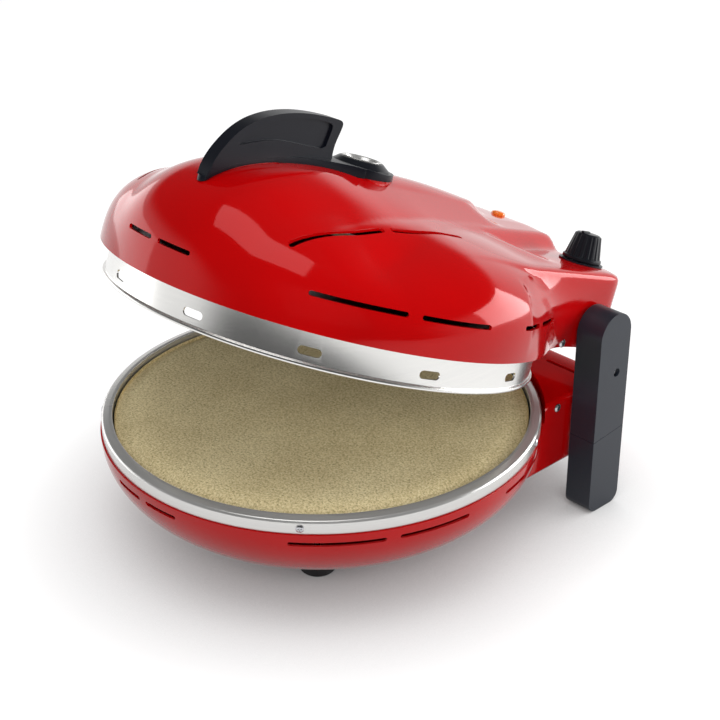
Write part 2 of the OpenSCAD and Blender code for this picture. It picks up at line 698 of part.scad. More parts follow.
// ---- handle and sight glass ---------------------------------------------------------------------

handle_screw_y = [-108, -52];
handle_tip_y = -149;
nose_w = 4.5;
seat_r = 26;
plate_top_z = 118.6;
plate_low_z = 113.6;
sight_y = 1.5;
sight_hole_r = 12.5;
sight_glass_r = 14.7;
bezel_r = 22.4;

function top_line(y) = lid_height(0, y);
function plate_low(y) = min(top_line(y) + 0.4, plate_low_z);
function plate_top(y) = mix(top_line(y) + 4.6, plate_top_z, ease((y + 30) / 45));

// Half width of the plate: slim under the fin, widening towards the round seat of the sight glass
function plate_half(y) = nose_w + (seat_r - nose_w) * pow(max(0, (y - handle_tip_y) / 134), 4);

// Plan of the plate, grown by t
module handle_plan(t) {
    edge = [for (y = [handle_tip_y + nose_w:6:-15]) [plate_half(y) + t, y]];
    polygon(concat(edge, [for (i = [len(edge) - 1:-1:0]) [-edge[i][0], edge[i][1]]]));
    translate([0, handle_tip_y + nose_w]) circle(r = nose_w + t, $fn = 48);
    translate([0, sight_y]) circle(r = seat_r + t, $fn = 96);
}

plate_ys = [for (k = [0:32]) mix(handle_tip_y - 1, sight_y + seat_r + 1, k / 32)];

module handle_plate() color(black) in_lid() difference() {
    intersection() {
        linear_extrude(height = 200) handle_plan(0);
        slab_x(-seat_r - 1, seat_r + 1) polygon(concat([for (y = plate_ys) [y, plate_low(y)]],
            [for (i = [len(plate_ys) - 1:-1:0]) [plate_ys[i], plate_top(plate_ys[i])]]));
    }
    lid_solid();
    for (y = handle_screw_y) translate([0, y, 60]) cylinder(r = screw_r + 0.1, h = 90, $fn = 24);
    translate([0, sight_y, 90]) cylinder(r = sight_hole_r, h = 60, $fn = 64);
    translate([0, sight_y, plate_top_z]) cylinder(r = bezel_r + 0.1, h = 20, $fn = 96);
}

// Side profile of the fin above the plate: [y, z] round the crest
fin_crest = [[-147.5, 97], [-144.7, 108.1], [-139, 118.5], [-129.8, 129.8], [-119.5, 137.9], [-108.1, 143.3],
    [-96, 147.1], [-83.2, 149.6], [-69.9, 150.9], [-56, 151.2], [-41.4, 150.7], [-34.5, 150], [-32, 147.6],
    [-33.4, 141], [-35.3, 134], [-35.8, 128.1], [-35.2, 122]];
fin_half_w = 6;
fin_round = 2;

module fin_slab(w, t) slab_x(-w, w) offset(delta = -t)
    polygon(concat(fin_crest, [for (y = [-36:-6:-148]) [y, plate_top(y) + 0.05 - t]]));

module handle_fin() color(black) in_lid() difference() {
    intersection() {
        linear_extrude(height = 200) handle_plan(1.2);
        union() {
            fin_slab(fin_half_w, fin_round);
            fin_slab(fin_half_w - fin_round, 0);
            fin_slab(fin_half_w - 0.6, 0.6);
        }
    }
    both_sides() slab_x(fin_half_w - 1.5, 40) polygon([
        [-123, 123], [-113.3, 125.1], [-101, 128], [-87.9, 129.2], [-58.2, 128], [-44.7, 128], [-43.2, 136],
        [-42.5, 146], [-59.8, 147.4], [-80.1, 145.8], [-99.1, 141.9], [-110.5, 136.5], [-119, 129.6]]);
    for (y = handle_screw_y) translate([0, y, 60]) cylinder(r = screw_r, h = 72, $fn = 24);
}

module handle_screws() color(steel) in_lid() for (y = handle_screw_y)
    translate([0, y, top_line(y) - shell_t - 4.4]) {
        cylinder(r = 4.2, h = 2.6, $fn = 32);
        cylinder(r = screw_r, h = 22, $fn = 24);
    }

sight_z = plate_top_z;

module sight_bezel() color(black) in_lid() translate([0, sight_y, sight_z + 0.1]) rotate_extrude($fn = 96)
    polygon([[15, 0], [bezel_r, 0], [bezel_r, 0.8], [16.8, 5], [15.6, 5.4], [15, 5]]);

module sight_glass() color("#9fb4bd", 0.5) in_lid() translate([0, sight_y, sight_z + 0.1])
    cylinder(r = sight_glass_r, h = 3, $fn = 96);

module sight_retainer() color(silver) in_lid() translate([0, sight_y, sight_z + 3.2])
    rotate_extrude($fn = 96) polygon([[12.2, 0], [sight_glass_r, 0], [sight_glass_r, 2.6], [13.6, 3], [12.2, 0.8]]);

base_shell();
base_band();
reflector_dish();
dish_standoffs();
baking_stone();
lower_heating_element();
lower_element_supports();
terminal_block();
feet();
foot_screws();
band_screws();
tail_screws();
cable_gland();
arm_frame_right();
arm_frame_left();
arm_cover_upper_right();
arm_cover_lower_right();
arm_cover_upper_left();
arm_cover_lower_left();
arm_bolts();
arm_screws();
hinge_rod();
slide_blocks();
rod_clips();
lid_shell();
lid_band();
lid_band_screws();
lid_tail_cover();
lid_reflector();
upper_heating_element();
upper_element_clips();
hinge_brackets();
lid_side_screws();
thermostat_body();
thermostat_bracket();
dial_plate();
pilot_lamp_lens();
pilot_lamp_body();
handle_plate();
handle_fin();
handle_screws();
sight_bezel();
sight_glass();
sight_retainer();
thermostat_knob();
knob_spindle();
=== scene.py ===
"""Looks of the electric pizza maker: a red bowl and dome, silver bands, stone, black handle and arms."""
import json
import math

import bmesh
import bpy
from mathutils import Matrix, Vector


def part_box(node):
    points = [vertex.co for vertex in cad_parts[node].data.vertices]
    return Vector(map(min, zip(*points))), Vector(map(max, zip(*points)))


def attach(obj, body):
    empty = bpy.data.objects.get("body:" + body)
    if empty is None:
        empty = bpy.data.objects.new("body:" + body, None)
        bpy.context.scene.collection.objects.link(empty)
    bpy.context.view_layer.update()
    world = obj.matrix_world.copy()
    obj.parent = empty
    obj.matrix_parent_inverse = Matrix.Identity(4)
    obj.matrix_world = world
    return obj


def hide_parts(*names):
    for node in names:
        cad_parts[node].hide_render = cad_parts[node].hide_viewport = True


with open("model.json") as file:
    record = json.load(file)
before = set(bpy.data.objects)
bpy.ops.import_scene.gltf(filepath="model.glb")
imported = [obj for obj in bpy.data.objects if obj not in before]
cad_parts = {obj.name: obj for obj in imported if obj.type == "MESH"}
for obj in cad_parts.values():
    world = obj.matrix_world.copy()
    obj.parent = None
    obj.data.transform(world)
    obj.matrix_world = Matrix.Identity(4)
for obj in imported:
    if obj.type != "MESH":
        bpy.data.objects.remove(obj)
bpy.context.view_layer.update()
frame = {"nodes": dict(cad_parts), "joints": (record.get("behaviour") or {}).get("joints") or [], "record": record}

MM = 0.001
TAU = 2 * math.pi

# ---- places: the rim's centre carries the base, the hinge carries the lid ------------------------

STONE_BELOW_RIM = 1.5 * MM
HINGE_Y = 165 * MM
HINGE_Z_LID = 36.3 * MM
joints = {j["name"]: j for j in frame["joints"]}
hinge = Vector(joints["lid_hinge"]["pos_m"])
lid_open = math.radians(-joints["lid_hinge"]["range_deg"][0])
rim = Vector((0, hinge.y - HINGE_Y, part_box("baking_stone")[1].z + STONE_BELOW_RIM))
BASE = Matrix.Translation(rim)
LID = (Matrix.Translation(hinge) @ Matrix.Rotation(-lid_open, 4, "X")
       @ Matrix.Translation((0, -HINGE_Y, -HINGE_Z_LID)))

# ---- driving sizes -------------------------------------------------------------------------------

RIM_R = 170 * MM
BOWL_R = 171.2 * MM
BOWL_DEPTH = 76 * MM
BAND_H = 11 * MM
SHELL_T = 2 * MM
TAIL_W = 130 * MM
TAIL_Y = 194 * MM
TAIL_CORNER = 20 * MM
TAIL_LOW = -56 * MM
DECK_Z = 2.5 * MM
DOME_R = 172 * MM
DOME_Z0 = 24.7 * MM
DOME_TOP = 116.5 * MM
LID_DECK_Z = 84 * MM
BOX_FULL = 30
EDGE_FILLET = 80 * MM
SIDE_BLEND = 8 * MM
SPINE_W = 26 * MM
LID_BAND_R = 163.5 * MM
SIDE_ARCS = [(39.5, 62.9), (66.2, 85.3), (98.8, 108.3), (111, 123)]
VENT_ARCS = [(-12.9, -2.7), (-0.3, 10.3)] + SIDE_ARCS + [(-b, -a) for a, b in SIDE_ARCS]
VENT_H = 3.4 * MM
LID_VENT_Z = 49.5 * MM
BASE_VENT_Z = -18.7 * MM
SHOULDER_SLOT_W = 4.8 * MM
SPLIT_GAP = 0.16 * MM
DECK_SLOT_X, DECK_SLOT_Y = (80 * MM, 116 * MM), 175.2 * MM
STONE_R = 160.3 * MM
STONE_T = 12 * MM
KNOB_AT = Vector((96, 172, 84.2)) * MM
KNOB_R, KNOB_H = 15.5 * MM, 22 * MM
KNOB_HOLE_R = 4.5 * MM
LAMP_AT = Vector((0, 178, 95)) * MM
LAMP_HOLE_R = 5.3 * MM
SIGHT_Y = 1.5 * MM
SIGHT_R = 12.5 * MM
BAND_SCREWS = (-42.5, 42.5, 118, 242)
LID_BAND_SCREWS = (148, 208, 238, 298)


# ---- small helpers round the operators -----------------------------------------------------------

def only(obj):
    """Makes obj the one selected and active object."""
    bpy.ops.object.select_all(action="DESELECT")
    obj.select_set(True)
    bpy.context.view_layer.objects.active = obj
    return obj


def added(name):
    """The object that the last operator added, renamed."""
    obj = bpy.context.object
    obj.name = name
    obj.data.name = name
    return only(obj)


def settle(obj):
    """Puts obj's own place and turn into its mesh."""
    only(obj)
    bpy.ops.object.transform_apply(location=True, rotation=True, scale=True)
    return obj


def modify(obj, kind, **values):
    """Adds one modifier with these values and applies it."""
    only(obj)
    m = obj.modifiers.new(kind.title(), kind)
    for key, value in values.items():
        setattr(m, key, value)
    bpy.ops.object.modifier_apply(modifier=m.name)
    return obj


def cut(obj, tool, operation="DIFFERENCE"):
    """Cuts tool out of obj, or joins it, and deletes the tool."""
    modify(obj, "BOOLEAN", object=tool, operation=operation, solver="EXACT")
    bpy.data.objects.remove(tool)
    return obj


def smooth(obj, angle=35):
    """Shades smooth across edges up to this angle in degrees."""
    only(obj)
    bpy.ops.object.shade_smooth_by_angle(angle=math.radians(angle))
    return obj


def even(obj):
    """Lets large flat faces rule the shading at their edges."""
    return modify(obj, "WEIGHTED_NORMAL", keep_sharp=True, weight=60)


def bevel(obj, width, segments=3, angle=40):
    """Rounds every edge that is sharper than this angle in degrees."""
    return modify(obj, "BEVEL", width=width, segments=segments, limit_method="ANGLE",
                  angle_limit=math.radians(angle), harden_normals=False)


def recalculated(obj):
    """Merges doubles and points every face outwards."""
    only(obj)
    bpy.ops.object.mode_set(mode="EDIT")
    bpy.ops.mesh.select_all(action="SELECT")
    bpy.ops.mesh.remove_doubles(threshold=1e-6)
    bpy.ops.mesh.normals_make_consistent(inside=False)
    bpy.ops.object.mode_set(mode="OBJECT")
    return obj


def cylinder(name, r, low, high, r_high=None, sides=96, at=(0, 0)):
    """A cylinder or cone along Z from low to high."""
    bpy.ops.object.select_all(action="DESELECT")
    bpy.ops.mesh.primitive_cone_add(vertices=sides, radius1=r, radius2=r if r_high is None else r_high,
                                    depth=high - low, location=(at[0], at[1], (low + high) / 2))
    return settle(added(name))


def block(name, low, high):
    """A box between two corners."""
    bpy.ops.object.select_all(action="DESELECT")
    low, high = Vector(low), Vector(high)
    bpy.ops.mesh.primitive_cube_add(size=1, location=(low + high) / 2, scale=high - low)
    return settle(added(name))


def outline(name, points):
    """A flat face in XY with these corners."""
    bpy.ops.object.select_all(action="DESELECT")
    bpy.ops.mesh.primitive_circle_add(vertices=len(points), radius=1, fill_type="NGON")
    obj = added(name)
    for v, p in zip(obj.data.vertices, points):
        v.co = (p[0], p[1], 0)
    return obj


def raised(name, points, low, high):
    """A prism along Z over the outline."""
    obj = outline(name, points)
    bpy.ops.object.mode_set(mode="EDIT")
    bpy.ops.mesh.select_all(action="SELECT")
    bpy.ops.mesh.extrude_region_move(TRANSFORM_OT_translate={"value": (0, 0, high - low)})
    bpy.ops.object.mode_set(mode="OBJECT")
    obj.location.z = low
    return recalculated(settle(obj))


# Turns a shape drawn in XY and raised along Z so that it is drawn in YZ and raised along X
SIDEWAYS = Matrix(((0, 0, 1, 0), (1, 0, 0, 0), (0, 1, 0, 0), (0, 0, 0, 1)))
MIRROR = Matrix.Scale(-1, 4, (1, 0, 0))


def sideways(name, points, low, high):
    """A prism along X over an outline given as (y, z)."""
    obj = raised(name, points, low, high)
    obj.data.transform(SIDEWAYS)
    return obj


def turned(name, section, steps=180, closed=True):
    """A solid of revolution about Z. section is a closed loop of (radius, z)."""
    bpy.ops.object.select_all(action="DESELECT")
    bpy.ops.mesh.primitive_circle_add(vertices=len(section), radius=1, fill_type="NOTHING")
    obj = added(name)
    for v, (r, z) in zip(obj.data.vertices, section):
        v.co = (r, 0, z)
    bpy.ops.object.mode_set(mode="EDIT")
    bpy.ops.mesh.select_all(action="SELECT")
    bpy.ops.mesh.spin(steps=steps, angle=TAU, center=(0, 0, 0), axis=(0, 0, 1))
    bpy.ops.object.mode_set(mode="OBJECT")
    return recalculated(obj)


def ease(t):
    """0 below 0 and 1 above 1, with a soft start and end between."""
    t = min(1.0, max(0.0, t))
    return t * t * (3 - 2 * t)


def mix(a, b, t):
    return a + (b - a) * t


def in_mm(points):
    """The same points, given in millimetres."""
    return [tuple(n * MM for n in p) for p in points]


def beside(r, points):
    """Points of (radius, z) or (radius, z, rounding) in millimetres, their radius counted from r."""
    return [(r + p[0] * MM,) + tuple(n * MM for n in p[1:]) for p in points]


def arc(first, last, steps):
    """Angles in radians from first to last degrees, both counted in."""
    return [math.radians(mix(first, last, k / steps)) for k in range(steps + 1)]


def rounded_section(corners, default=0.4 * MM, steps=4):
    """A loop of (radius, z), or (radius, z, rounding), with each corner as an arc."""
    loop = []
    n = len(corners)
    for i, corner in enumerate(corners):
        here = Vector(corner[:2])
        want = corner[2] if len(corner) > 2 else default
        before = Vector(corners[i - 1][:2]) - here
        after = Vector(corners[(i + 1) % n][:2]) - here
        half = before.angle(after) / 2
        if want <= 0 or math.pi / 2 - half < 0.05:
            loop.append(tuple(here))
            continue
        back = min(want / math.tan(half), 0.45 * before.length, 0.45 * after.length)
        a, b = here + before.normalized() * back, here + after.normalized() * back
        for k in range(steps + 1):
            t = k / steps
            loop.append(tuple(a * (1 - t) ** 2 + here * 2 * t * (1 - t) + b * t * t))
    return loop


def joined(name, pieces):
    """All the pieces as one object."""
    bpy.ops.object.select_all(action="DESELECT")
    for p in pieces:
        p.select_set(True)
    bpy.context.view_layer.objects.active = pieces[0]
    if len(pieces) > 1:
        bpy.ops.object.join()
    return added(name)


def copied(obj, matrix, name="copy"):
    """A copy of obj with its own mesh, moved by matrix."""
    other = obj.copy()
    other.data = obj.data.copy()
    bpy.context.scene.collection.objects.link(other)
    other.data.transform(matrix)
    if matrix.determinant() < 0:
        other.data.flip_normals()
    other.name = name
    return other


def mirrored(obj):
    """Moves obj's mesh to the other side."""
    obj.data.transform(MIRROR)
    obj.data.flip_normals()
    return obj


def round_at(angle, r, z=0.0):
    """A place at angle degrees round the centre from the front, its own X pointing outwards."""
    return Matrix.Rotation(math.radians(angle - 90), 4, "Z") @ Matrix.Translation((r, 0, z))


def fit(obj, place, body, slot, material, *nodes):
    """Moves a piece's mesh into place, gives it its body and finish, and hides the CAD nodes it stands for."""
    obj.data.transform(place)
    obj.data.materials.clear()
    obj.data.materials.append(material)
    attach(obj, body)
    if nodes:
        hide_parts(*nodes)
    return obj


# ---- materials -----------------------------------------------------------------------------------

class Shader:
    """A material's node tree with a few short ways to add to it."""

    def __init__(self, name, **values):
        self.mat = bpy.data.materials.new(name)
        self.mat.use_nodes = True
        self.tree = self.mat.node_tree
        self.bsdf = self.tree.nodes["Principled BSDF"]
        for key, value in values.items():
            self.bsdf.inputs[key.replace("_", " ").title().replace("Ior", "IOR")].default_value = value

    def add(self, kind, **inputs):
        node = self.tree.nodes.new(kind)
        for key, value in inputs.items():
            if isinstance(value, bpy.types.NodeSocket):
                self.tree.links.new(value, node.inputs[key])
            else:
                node.inputs[key].default_value = value
        return node

    def link(self, a, b):
        self.tree.links.new(a, b)

    def coords(self, scale=(1, 1, 1), turn=(0, 0, 0)):
        place = self.add("ShaderNodeTexCoord").outputs["Object"]
        node = self.add("ShaderNodeMapping", Vector=place, Scale=scale, Rotation=turn)
        return node.outputs["Vector"]

    def noise(self, vector, scale, detail=3.0, rough=0.5):
        return self.add("ShaderNodeTexNoise", Vector=vector, Scale=scale, Detail=detail,
                        Roughness=rough).outputs["Fac"]

    def ramp(self, value, *stops):
        node = self.add("ShaderNodeValToRGB", Fac=value)
        while len(node.color_ramp.elements) < len(stops):
            node.color_ramp.elements.new(0.5)
        for element, (at, colour) in zip(node.color_ramp.elements, stops):
            element.position = at
            element.color = (*colour, 1) if isinstance(colour, tuple) else (colour, colour, colour, 1)
        return node.outputs["Color"]

    def colour(self, value):
        self.link(value, self.bsdf.inputs["Base Color"])

    def roughness(self, value, low, high):
        node = self.add("ShaderNodeMapRange", Value=value)
        node.inputs["To Min"].default_value = low
        node.inputs["To Max"].default_value = high
        self.link(node.outputs["Result"], self.bsdf.inputs["Roughness"])

    def bump(self, height, distance, strength=1.0):
        node = self.add("ShaderNodeBump", Height=height, Distance=distance, Strength=strength)
        self.link(node.outputs["Normal"], self.bsdf.inputs["Normal"])
        return node


def worn_group():
    """Shared soft variation of a surface: a broad tone, fine specks and both together."""
    group = bpy.data.node_groups.new("surface_variation", "ShaderNodeTree")
    for name, kind in (("Vector", "NodeSocketVector"), ("Broad Scale", "NodeSocketFloat"),
                       ("Fine Scale", "NodeSocketFloat")):
        group.interface.new_socket(name, in_out="INPUT", socket_type=kind)
    for name in ("Broad", "Fine", "Both"):
        group.interface.new_socket(name, in_out="OUTPUT", socket_type="NodeSocketFloat")
    start, end = group.nodes.new("NodeGroupInput"), group.nodes.new("NodeGroupOutput")
    tones = []
    for scale, detail in (("Broad Scale", 2.0), ("Fine Scale", 4.0)):
        noise = group.nodes.new("ShaderNodeTexNoise")
        noise.inputs["Detail"].default_value = detail
        group.links.new(start.outputs["Vector"], noise.inputs["Vector"])
        group.links.new(start.outputs[scale], noise.inputs["Scale"])
        tones.append(noise.outputs["Fac"])
    both = group.nodes.new("ShaderNodeMath")
    both.operation = "MULTIPLY"
    for i, tone in enumerate(tones):
        group.links.new(tone, both.inputs[i])
        group.links.new(tone, end.inputs[i])
    group.links.new(both.outputs[0], end.inputs["Both"])
    return group


VARIATION = worn_group()


def variation(shader, vector, broad, fine):
    """Puts the shared variation into a material, with its own two scales."""
    node = shader.tree.nodes.new("ShaderNodeGroup")
    node.node_tree = VARIATION
    shader.link(vector, node.inputs["Vector"])
    node.inputs["Broad Scale"].default_value = broad
    node.inputs["Fine Scale"].default_value = fine
    return node


def red_paint(name="red_paint"):
    """Stoved enamel: deep red, glossy, with a trace of orange peel; it mirrors in red except at a slant."""
    s = Shader(name, ior=1.5)
    s.bsdf.inputs["Specular Tint"].default_value = (1.0, 0.45, 0.45, 1)
    v = variation(s, s.coords(), 9, 260)
    s.colour(s.ramp(v.outputs["Broad"], (0.3, (0.43, 0.0008, 0.0012)), (0.7, (0.54, 0.001, 0.0016))))
    s.roughness(v.outputs["Fine"], 0.06, 0.11)
    s.bump(v.outputs["Fine"], 0.00002, 0.25)
    return s.mat


def polished_steel(name="polished_steel", turn=0.0, shade=0.80, metal=1.0):
    """Rolled stainless strip: bright, with very fine lines that run round the band."""
    s = Shader(name, metallic=metal)
    lines = s.noise(s.coords((14, 14, 2600), (turn, 0, 0)), 1.0, 5.0, 0.6)
    v = variation(s, s.coords(), 14, 420)
    dark = (shade * 0.93, shade * 0.92, shade * 0.90)
    bright = (shade, shade * 0.99, shade * 0.96)
    s.colour(s.ramp(lines, (0.35, dark), (0.65, bright)))
    s.roughness(v.outputs["Broad"], 0.20, 0.30)
    s.bump(lines, 0.00001, 0.25)
    return s.mat


def plain_metal(name, colour, rough, grain=600, tint=0.8):
    """Zinc, aluminium or oxidised steel with blotchy roughness and a fine grain."""
    s = Shader(name, metallic=1.0, roughness=rough)
    v = variation(s, s.coords(), 22, grain)
    dark = tuple(c * tint for c in colour)
    s.colour(s.ramp(v.outputs["Broad"], (0.3, dark), (0.7, colour)))
    s.roughness(v.outputs["Both"], rough * 0.7, min(1.0, rough * 1.5))
    s.bump(v.outputs["Fine"], 0.00003, 0.3)
    return s.mat


def black_plastic(name="black_plastic", rough=0.36, colour=(0.009, 0.011, 0.017), specular=0.26):
    """Moulded plastic with a fine spark-eroded grain."""
    s = Shader(name, specular_ior_level=specular)
    v = variation(s, s.coords(), 18, 1900)
    lighter = tuple(c * 1.25 for c in colour)
    s.colour(s.ramp(v.outputs["Both"], (0.2, colour), (0.5, lighter)))
    s.roughness(v.outputs["Fine"], rough * 0.85, rough * 1.15)
    s.bump(v.outputs["Fine"], 0.00004, 0.45)
    return s.mat


def fired_stone():
    """Baking stone: beige olive with pale and dark grit and small pits."""
    s = Shader("fired_stone", roughness=0.93, specular_ior_level=0.25)
    place = s.coords()
    grit = s.noise(place, 640, 5.0, 0.8)
    broad = s.noise(place, 16, 4.0, 0.6)
    tone = s.ramp(grit, (0.33, (0.26, 0.19, 0.08)), (0.45, (0.68, 0.56, 0.30)), (0.55, (0.88, 0.74, 0.43)),
                  (0.68, (1.0, 0.94, 0.68)))
    wide = s.ramp(broad, (0.35, (0.86, 0.84, 0.80)), (0.65, (1.0, 1.0, 1.0)))
    mixed = s.tree.nodes.new("ShaderNodeMix")
    mixed.data_type = "RGBA"
    mixed.blend_type = "MULTIPLY"
    mixed.inputs["Factor"].default_value = 1.0
    s.link(tone, mixed.inputs["A"])
    s.link(wide, mixed.inputs["B"])
    s.colour(mixed.outputs["Result"])
    s.bump(grit, 0.0004, 0.6)
    return s.mat


def amber():
    """Neon lamp's amber lens, faintly glowing from the light in it."""
    s = Shader("amber_lens", roughness=0.22, coat_weight=1.0, coat_roughness=0.05)
    v = variation(s, s.coords(), 120, 900)
    s.colour(s.ramp(v.outputs["Broad"], (0.3, (0.72, 0.13, 0.01)), (0.7, (0.90, 0.24, 0.03))))
    s.bsdf.inputs["Emission Color"].default_value = (0.9, 0.20, 0.02, 1)
    s.bsdf.inputs["Emission Strength"].default_value = 0.1
    return s.mat


def shade_dark_glass():
    """Toughened clear sight glass, coloured dark as painted shade because nothing is lit behind it."""
    s = Shader("sight_glass", roughness=0.03, coat_weight=1.0, coat_roughness=0.01, ior=1.5)
    v = variation(s, s.coords(), 60, 700)
    s.colour(s.ramp(v.outputs["Broad"], (0.3, (0.012, 0.013, 0.015)), (0.7, (0.03, 0.032, 0.036))))
    s.roughness(v.outputs["Fine"], 0.02, 0.06)
    return s.mat


def light_plastic():
    """Cream plastic of the parts inside."""
    s = Shader("light_plastic", roughness=0.5)
    v = variation(s, s.coords(), 30, 1200)
    s.colour(s.ramp(v.outputs["Broad"], (0.3, (0.62, 0.58, 0.48)), (0.7, (0.74, 0.70, 0.60))))
    s.bump(v.outputs["Fine"], 0.00003, 0.3)
    return s.mat


def rubber():
    """Matt black rubber of the feet."""
    s = Shader("black_rubber", roughness=0.8)
    v = variation(s, s.coords(), 40, 1500)
    s.colour(s.ramp(v.outputs["Both"], (0.2, (0.012, 0.012, 0.013)), (0.5, (0.03, 0.03, 0.032))))
    s.bump(v.outputs["Fine"], 0.00006, 0.5)
    return s.mat


RED = red_paint()
# Painted shade: the base band's steel is a darker copy of the lid band's, standing in for the shadowed floor that
# its front wall mirrors.
STEEL_DARKENED_AS_SHADE = polished_steel(shade=0.68, metal=0.70)
LID_STEEL = polished_steel("polished_steel_lid", turn=lid_open)
SCREW = plain_metal("screw_steel", (0.62, 0.62, 0.64), 0.3)
ZINC = plain_metal("zinc_steel", (0.55, 0.56, 0.58), 0.38)
# Painted shade: the aluminium sheet is coloured dark grey because inside the lid it lies in shade where the air
# slots show it.
ALUMINIUM_DARK_AS_SHADE = plain_metal("aluminium_sheet", (0.34, 0.34, 0.35), 0.5)
HEATER = plain_metal("heater_steel", (0.16, 0.15, 0.14), 0.5, 900, 0.6)
PLASTIC = black_plastic()
KNOB_PLASTIC = black_plastic("knob_plastic", 0.30, (0.007, 0.008, 0.011))
HANDLE_PLASTIC = black_plastic("handle_plastic", 0.33, (0.005, 0.006, 0.010), 0.22)
ARM_PLASTIC = black_plastic("arm_plastic", 0.38, (0.014, 0.018, 0.027), 0.40)
STONE = fired_stone()
AMBER = amber()
GLASS = shade_dark_glass()
LIGHT = light_plastic()
RUBBER = rubber()

SLOT_MATERIAL = {"red_paint": RED, "polished_steel": SCREW, "stone": STONE, "aluminium_sheet": ALUMINIUM_DARK_AS_SHADE,
                 "heater_steel": HEATER, "zinc_steel": ZINC, "black_plastic": PLASTIC, "black_rubber": RUBBER,
                 "light_plastic": LIGHT, "amber_lens": AMBER, "clear_glass": GLASS}
for part in frame["record"]["subparts"]:
    shown = frame["nodes"][part["node"]]
    shown.data.materials.clear()
    shown.data.materials.append(SLOT_MATERIAL[part["material_slot"]])


# ---- the dome's surface --------------------------------------------------------------------------

def square_reach(a):
    """Distance from the centre to the tail's rounded outline in direction a."""
    c, s = abs(math.cos(a)), math.sin(a)
    straight = min(TAIL_W / c if c > 1e-3 else 9, TAIL_Y / s if s > 1e-3 else 9)
    cx, cy = TAIL_W - TAIL_CORNER, TAIL_Y - TAIL_CORNER
    if straight * c > cx and straight * s > cy:
        along = c * cx + s * cy
        return along + math.sqrt(max(0.0, TAIL_CORNER ** 2 - (cx * cx + cy * cy - along * along)))
    return straight


def soft_max(a, b, blend):
    """The larger of a and b, with a fillet where they are less than blend apart."""
    h = max(0.0, blend - abs(a - b)) / max(blend, 1e-9)
    return max(a, b) + h * h * blend / 4


def plan_reach(a):
    """Distance from the centre to the dome's lower edge in direction a, filleted where dome and tail meet."""
    if math.sin(a) <= 0:
        return DOME_R
    fx = TAIL_W + EDGE_FILLET
    fy = math.sqrt((DOME_R + EDGE_FILLET) ** 2 - fx * fx)
    along = abs(math.cos(a)) * fx + math.sin(a) * fy
    inside = along * along - fx * fx - fy * fy + EDGE_FILLET ** 2
    turn = math.atan2(math.sin(a), abs(math.cos(a)))
    if math.atan2(fy, fx) < turn < math.atan2(fy, TAIL_W):
        return along - math.sqrt(max(0.0, inside))
    return max(DOME_R, square_reach(a))


def shoulder_z(y):
    """Height of the shoulder's outer edge."""
    return 97.5 * MM - 0.022 * (y - 32 * MM)


def shoulder_w(y):
    """Distance of the shoulder's outer edge from the middle."""
    return 65 * MM - 0.125 * (y - 32 * MM)


def spine_z(x, y):
    """Height of the raised spine: crowned beside and behind the handle, with a rounded rear end."""
    across = (x / SPINE_W) ** 2
    middle = DOME_TOP - 10.5 * MM * (max(0.0, y) / (124 * MM)) ** 2
    edge = 111.5 * MM - 0.044 * y
    top = middle - (middle - edge) * ease((y + 80 * MM) / (60 * MM)) * across
    return mix(top, shoulder_z(y) + 1.5 * MM, ease((y - (124 - 24 * across) * MM) / (28 * MM)))


def shoulder(x, y):
    """Height of the spine and of the slopes beside it, x counted from the middle."""
    if x < SPINE_W:
        return spine_z(x, y)
    return mix(spine_z(SPINE_W, y), shoulder_z(y), min(1.0, (x - SPINE_W) / (shoulder_w(y) - SPINE_W)))


def stepped(x, y):
    """The same with the step down to the deck beside the shoulder."""
    w2 = shoulder_w(y)
    w3 = w2 + 16 * MM + 0.1 * max(0.0, 180 * MM - y)
    return mix(shoulder(x, y), LID_DECK_Z, ease((x - w2) / (w3 - w2)))


def dome_reach(a):
    """Radius of the dome's own edge: the lid's outline up to the tail's corner, then a circle again."""
    turn = math.degrees(math.atan2(math.sin(a), abs(math.cos(a))))
    return mix(plan_reach(a), DOME_R, ease((turn - 45) / 12))


def lid_height(x, y):
    """Height of the lid: a round dome and the stepped box of the tail that runs out of it."""
    side = abs(x)
    a = math.atan2(y, x)
    rear = math.degrees(math.asin(math.sin(a)))
    front_top = mix(stepped(side, y), shoulder(side, y), ease((y + 80 * MM) / (80 * MM)))
    top = mix(DOME_TOP, front_top, ease((y + 160 * MM) / (90 * MM)))
    p = mix(2.5 + 0.7 * ease((70 * MM - side) / (45 * MM)), 3.2, ease((rear + 60) / 60))
    dome = (top - DOME_Z0) * max(0.0, 1 - (math.hypot(x, y) / dome_reach(a)) ** p) ** (1 / p)
    if y <= -20 * MM:
        return DOME_Z0 + dome
    s = math.hypot(x, y) / square_reach(max(a, 0.0) if y > 0 else 0.0)
    box = (stepped(side, y) - DOME_Z0) * max(0.0, 1 - s ** BOX_FULL) ** (1 / BOX_FULL)
    blend = SIDE_BLEND * ease((side - 55 * MM) / (40 * MM)) * min(1.0, max(dome, box) / (40 * MM))
    both = soft_max(dome, box, blend)
    return DOME_Z0 + mix(dome, both, ease((y + 20 * MM) / (40 * MM)))


def dome_point(a, rise):
    """The point of the dome met by a ray from the middle of its lower edge."""
    c, s = math.cos(a) * math.cos(rise), math.sin(a) * math.cos(rise)
    low, high = 0.0, plan_reach(a) / math.cos(rise) if rise < 1.0 else 0.2
    for _ in range(26):
        k = (low + high) / 2
        if DOME_Z0 + k * math.sin(rise) < lid_height(k * c, k * s):
            low = k
        else:
            high = k
    return Vector((low * c, low * s, DOME_Z0 + low * math.sin(rise)))


DOME_SIDES = 360
LOW_ROWS, TOP_ROWS = 52, 34
LOW_RISE = math.radians(34)


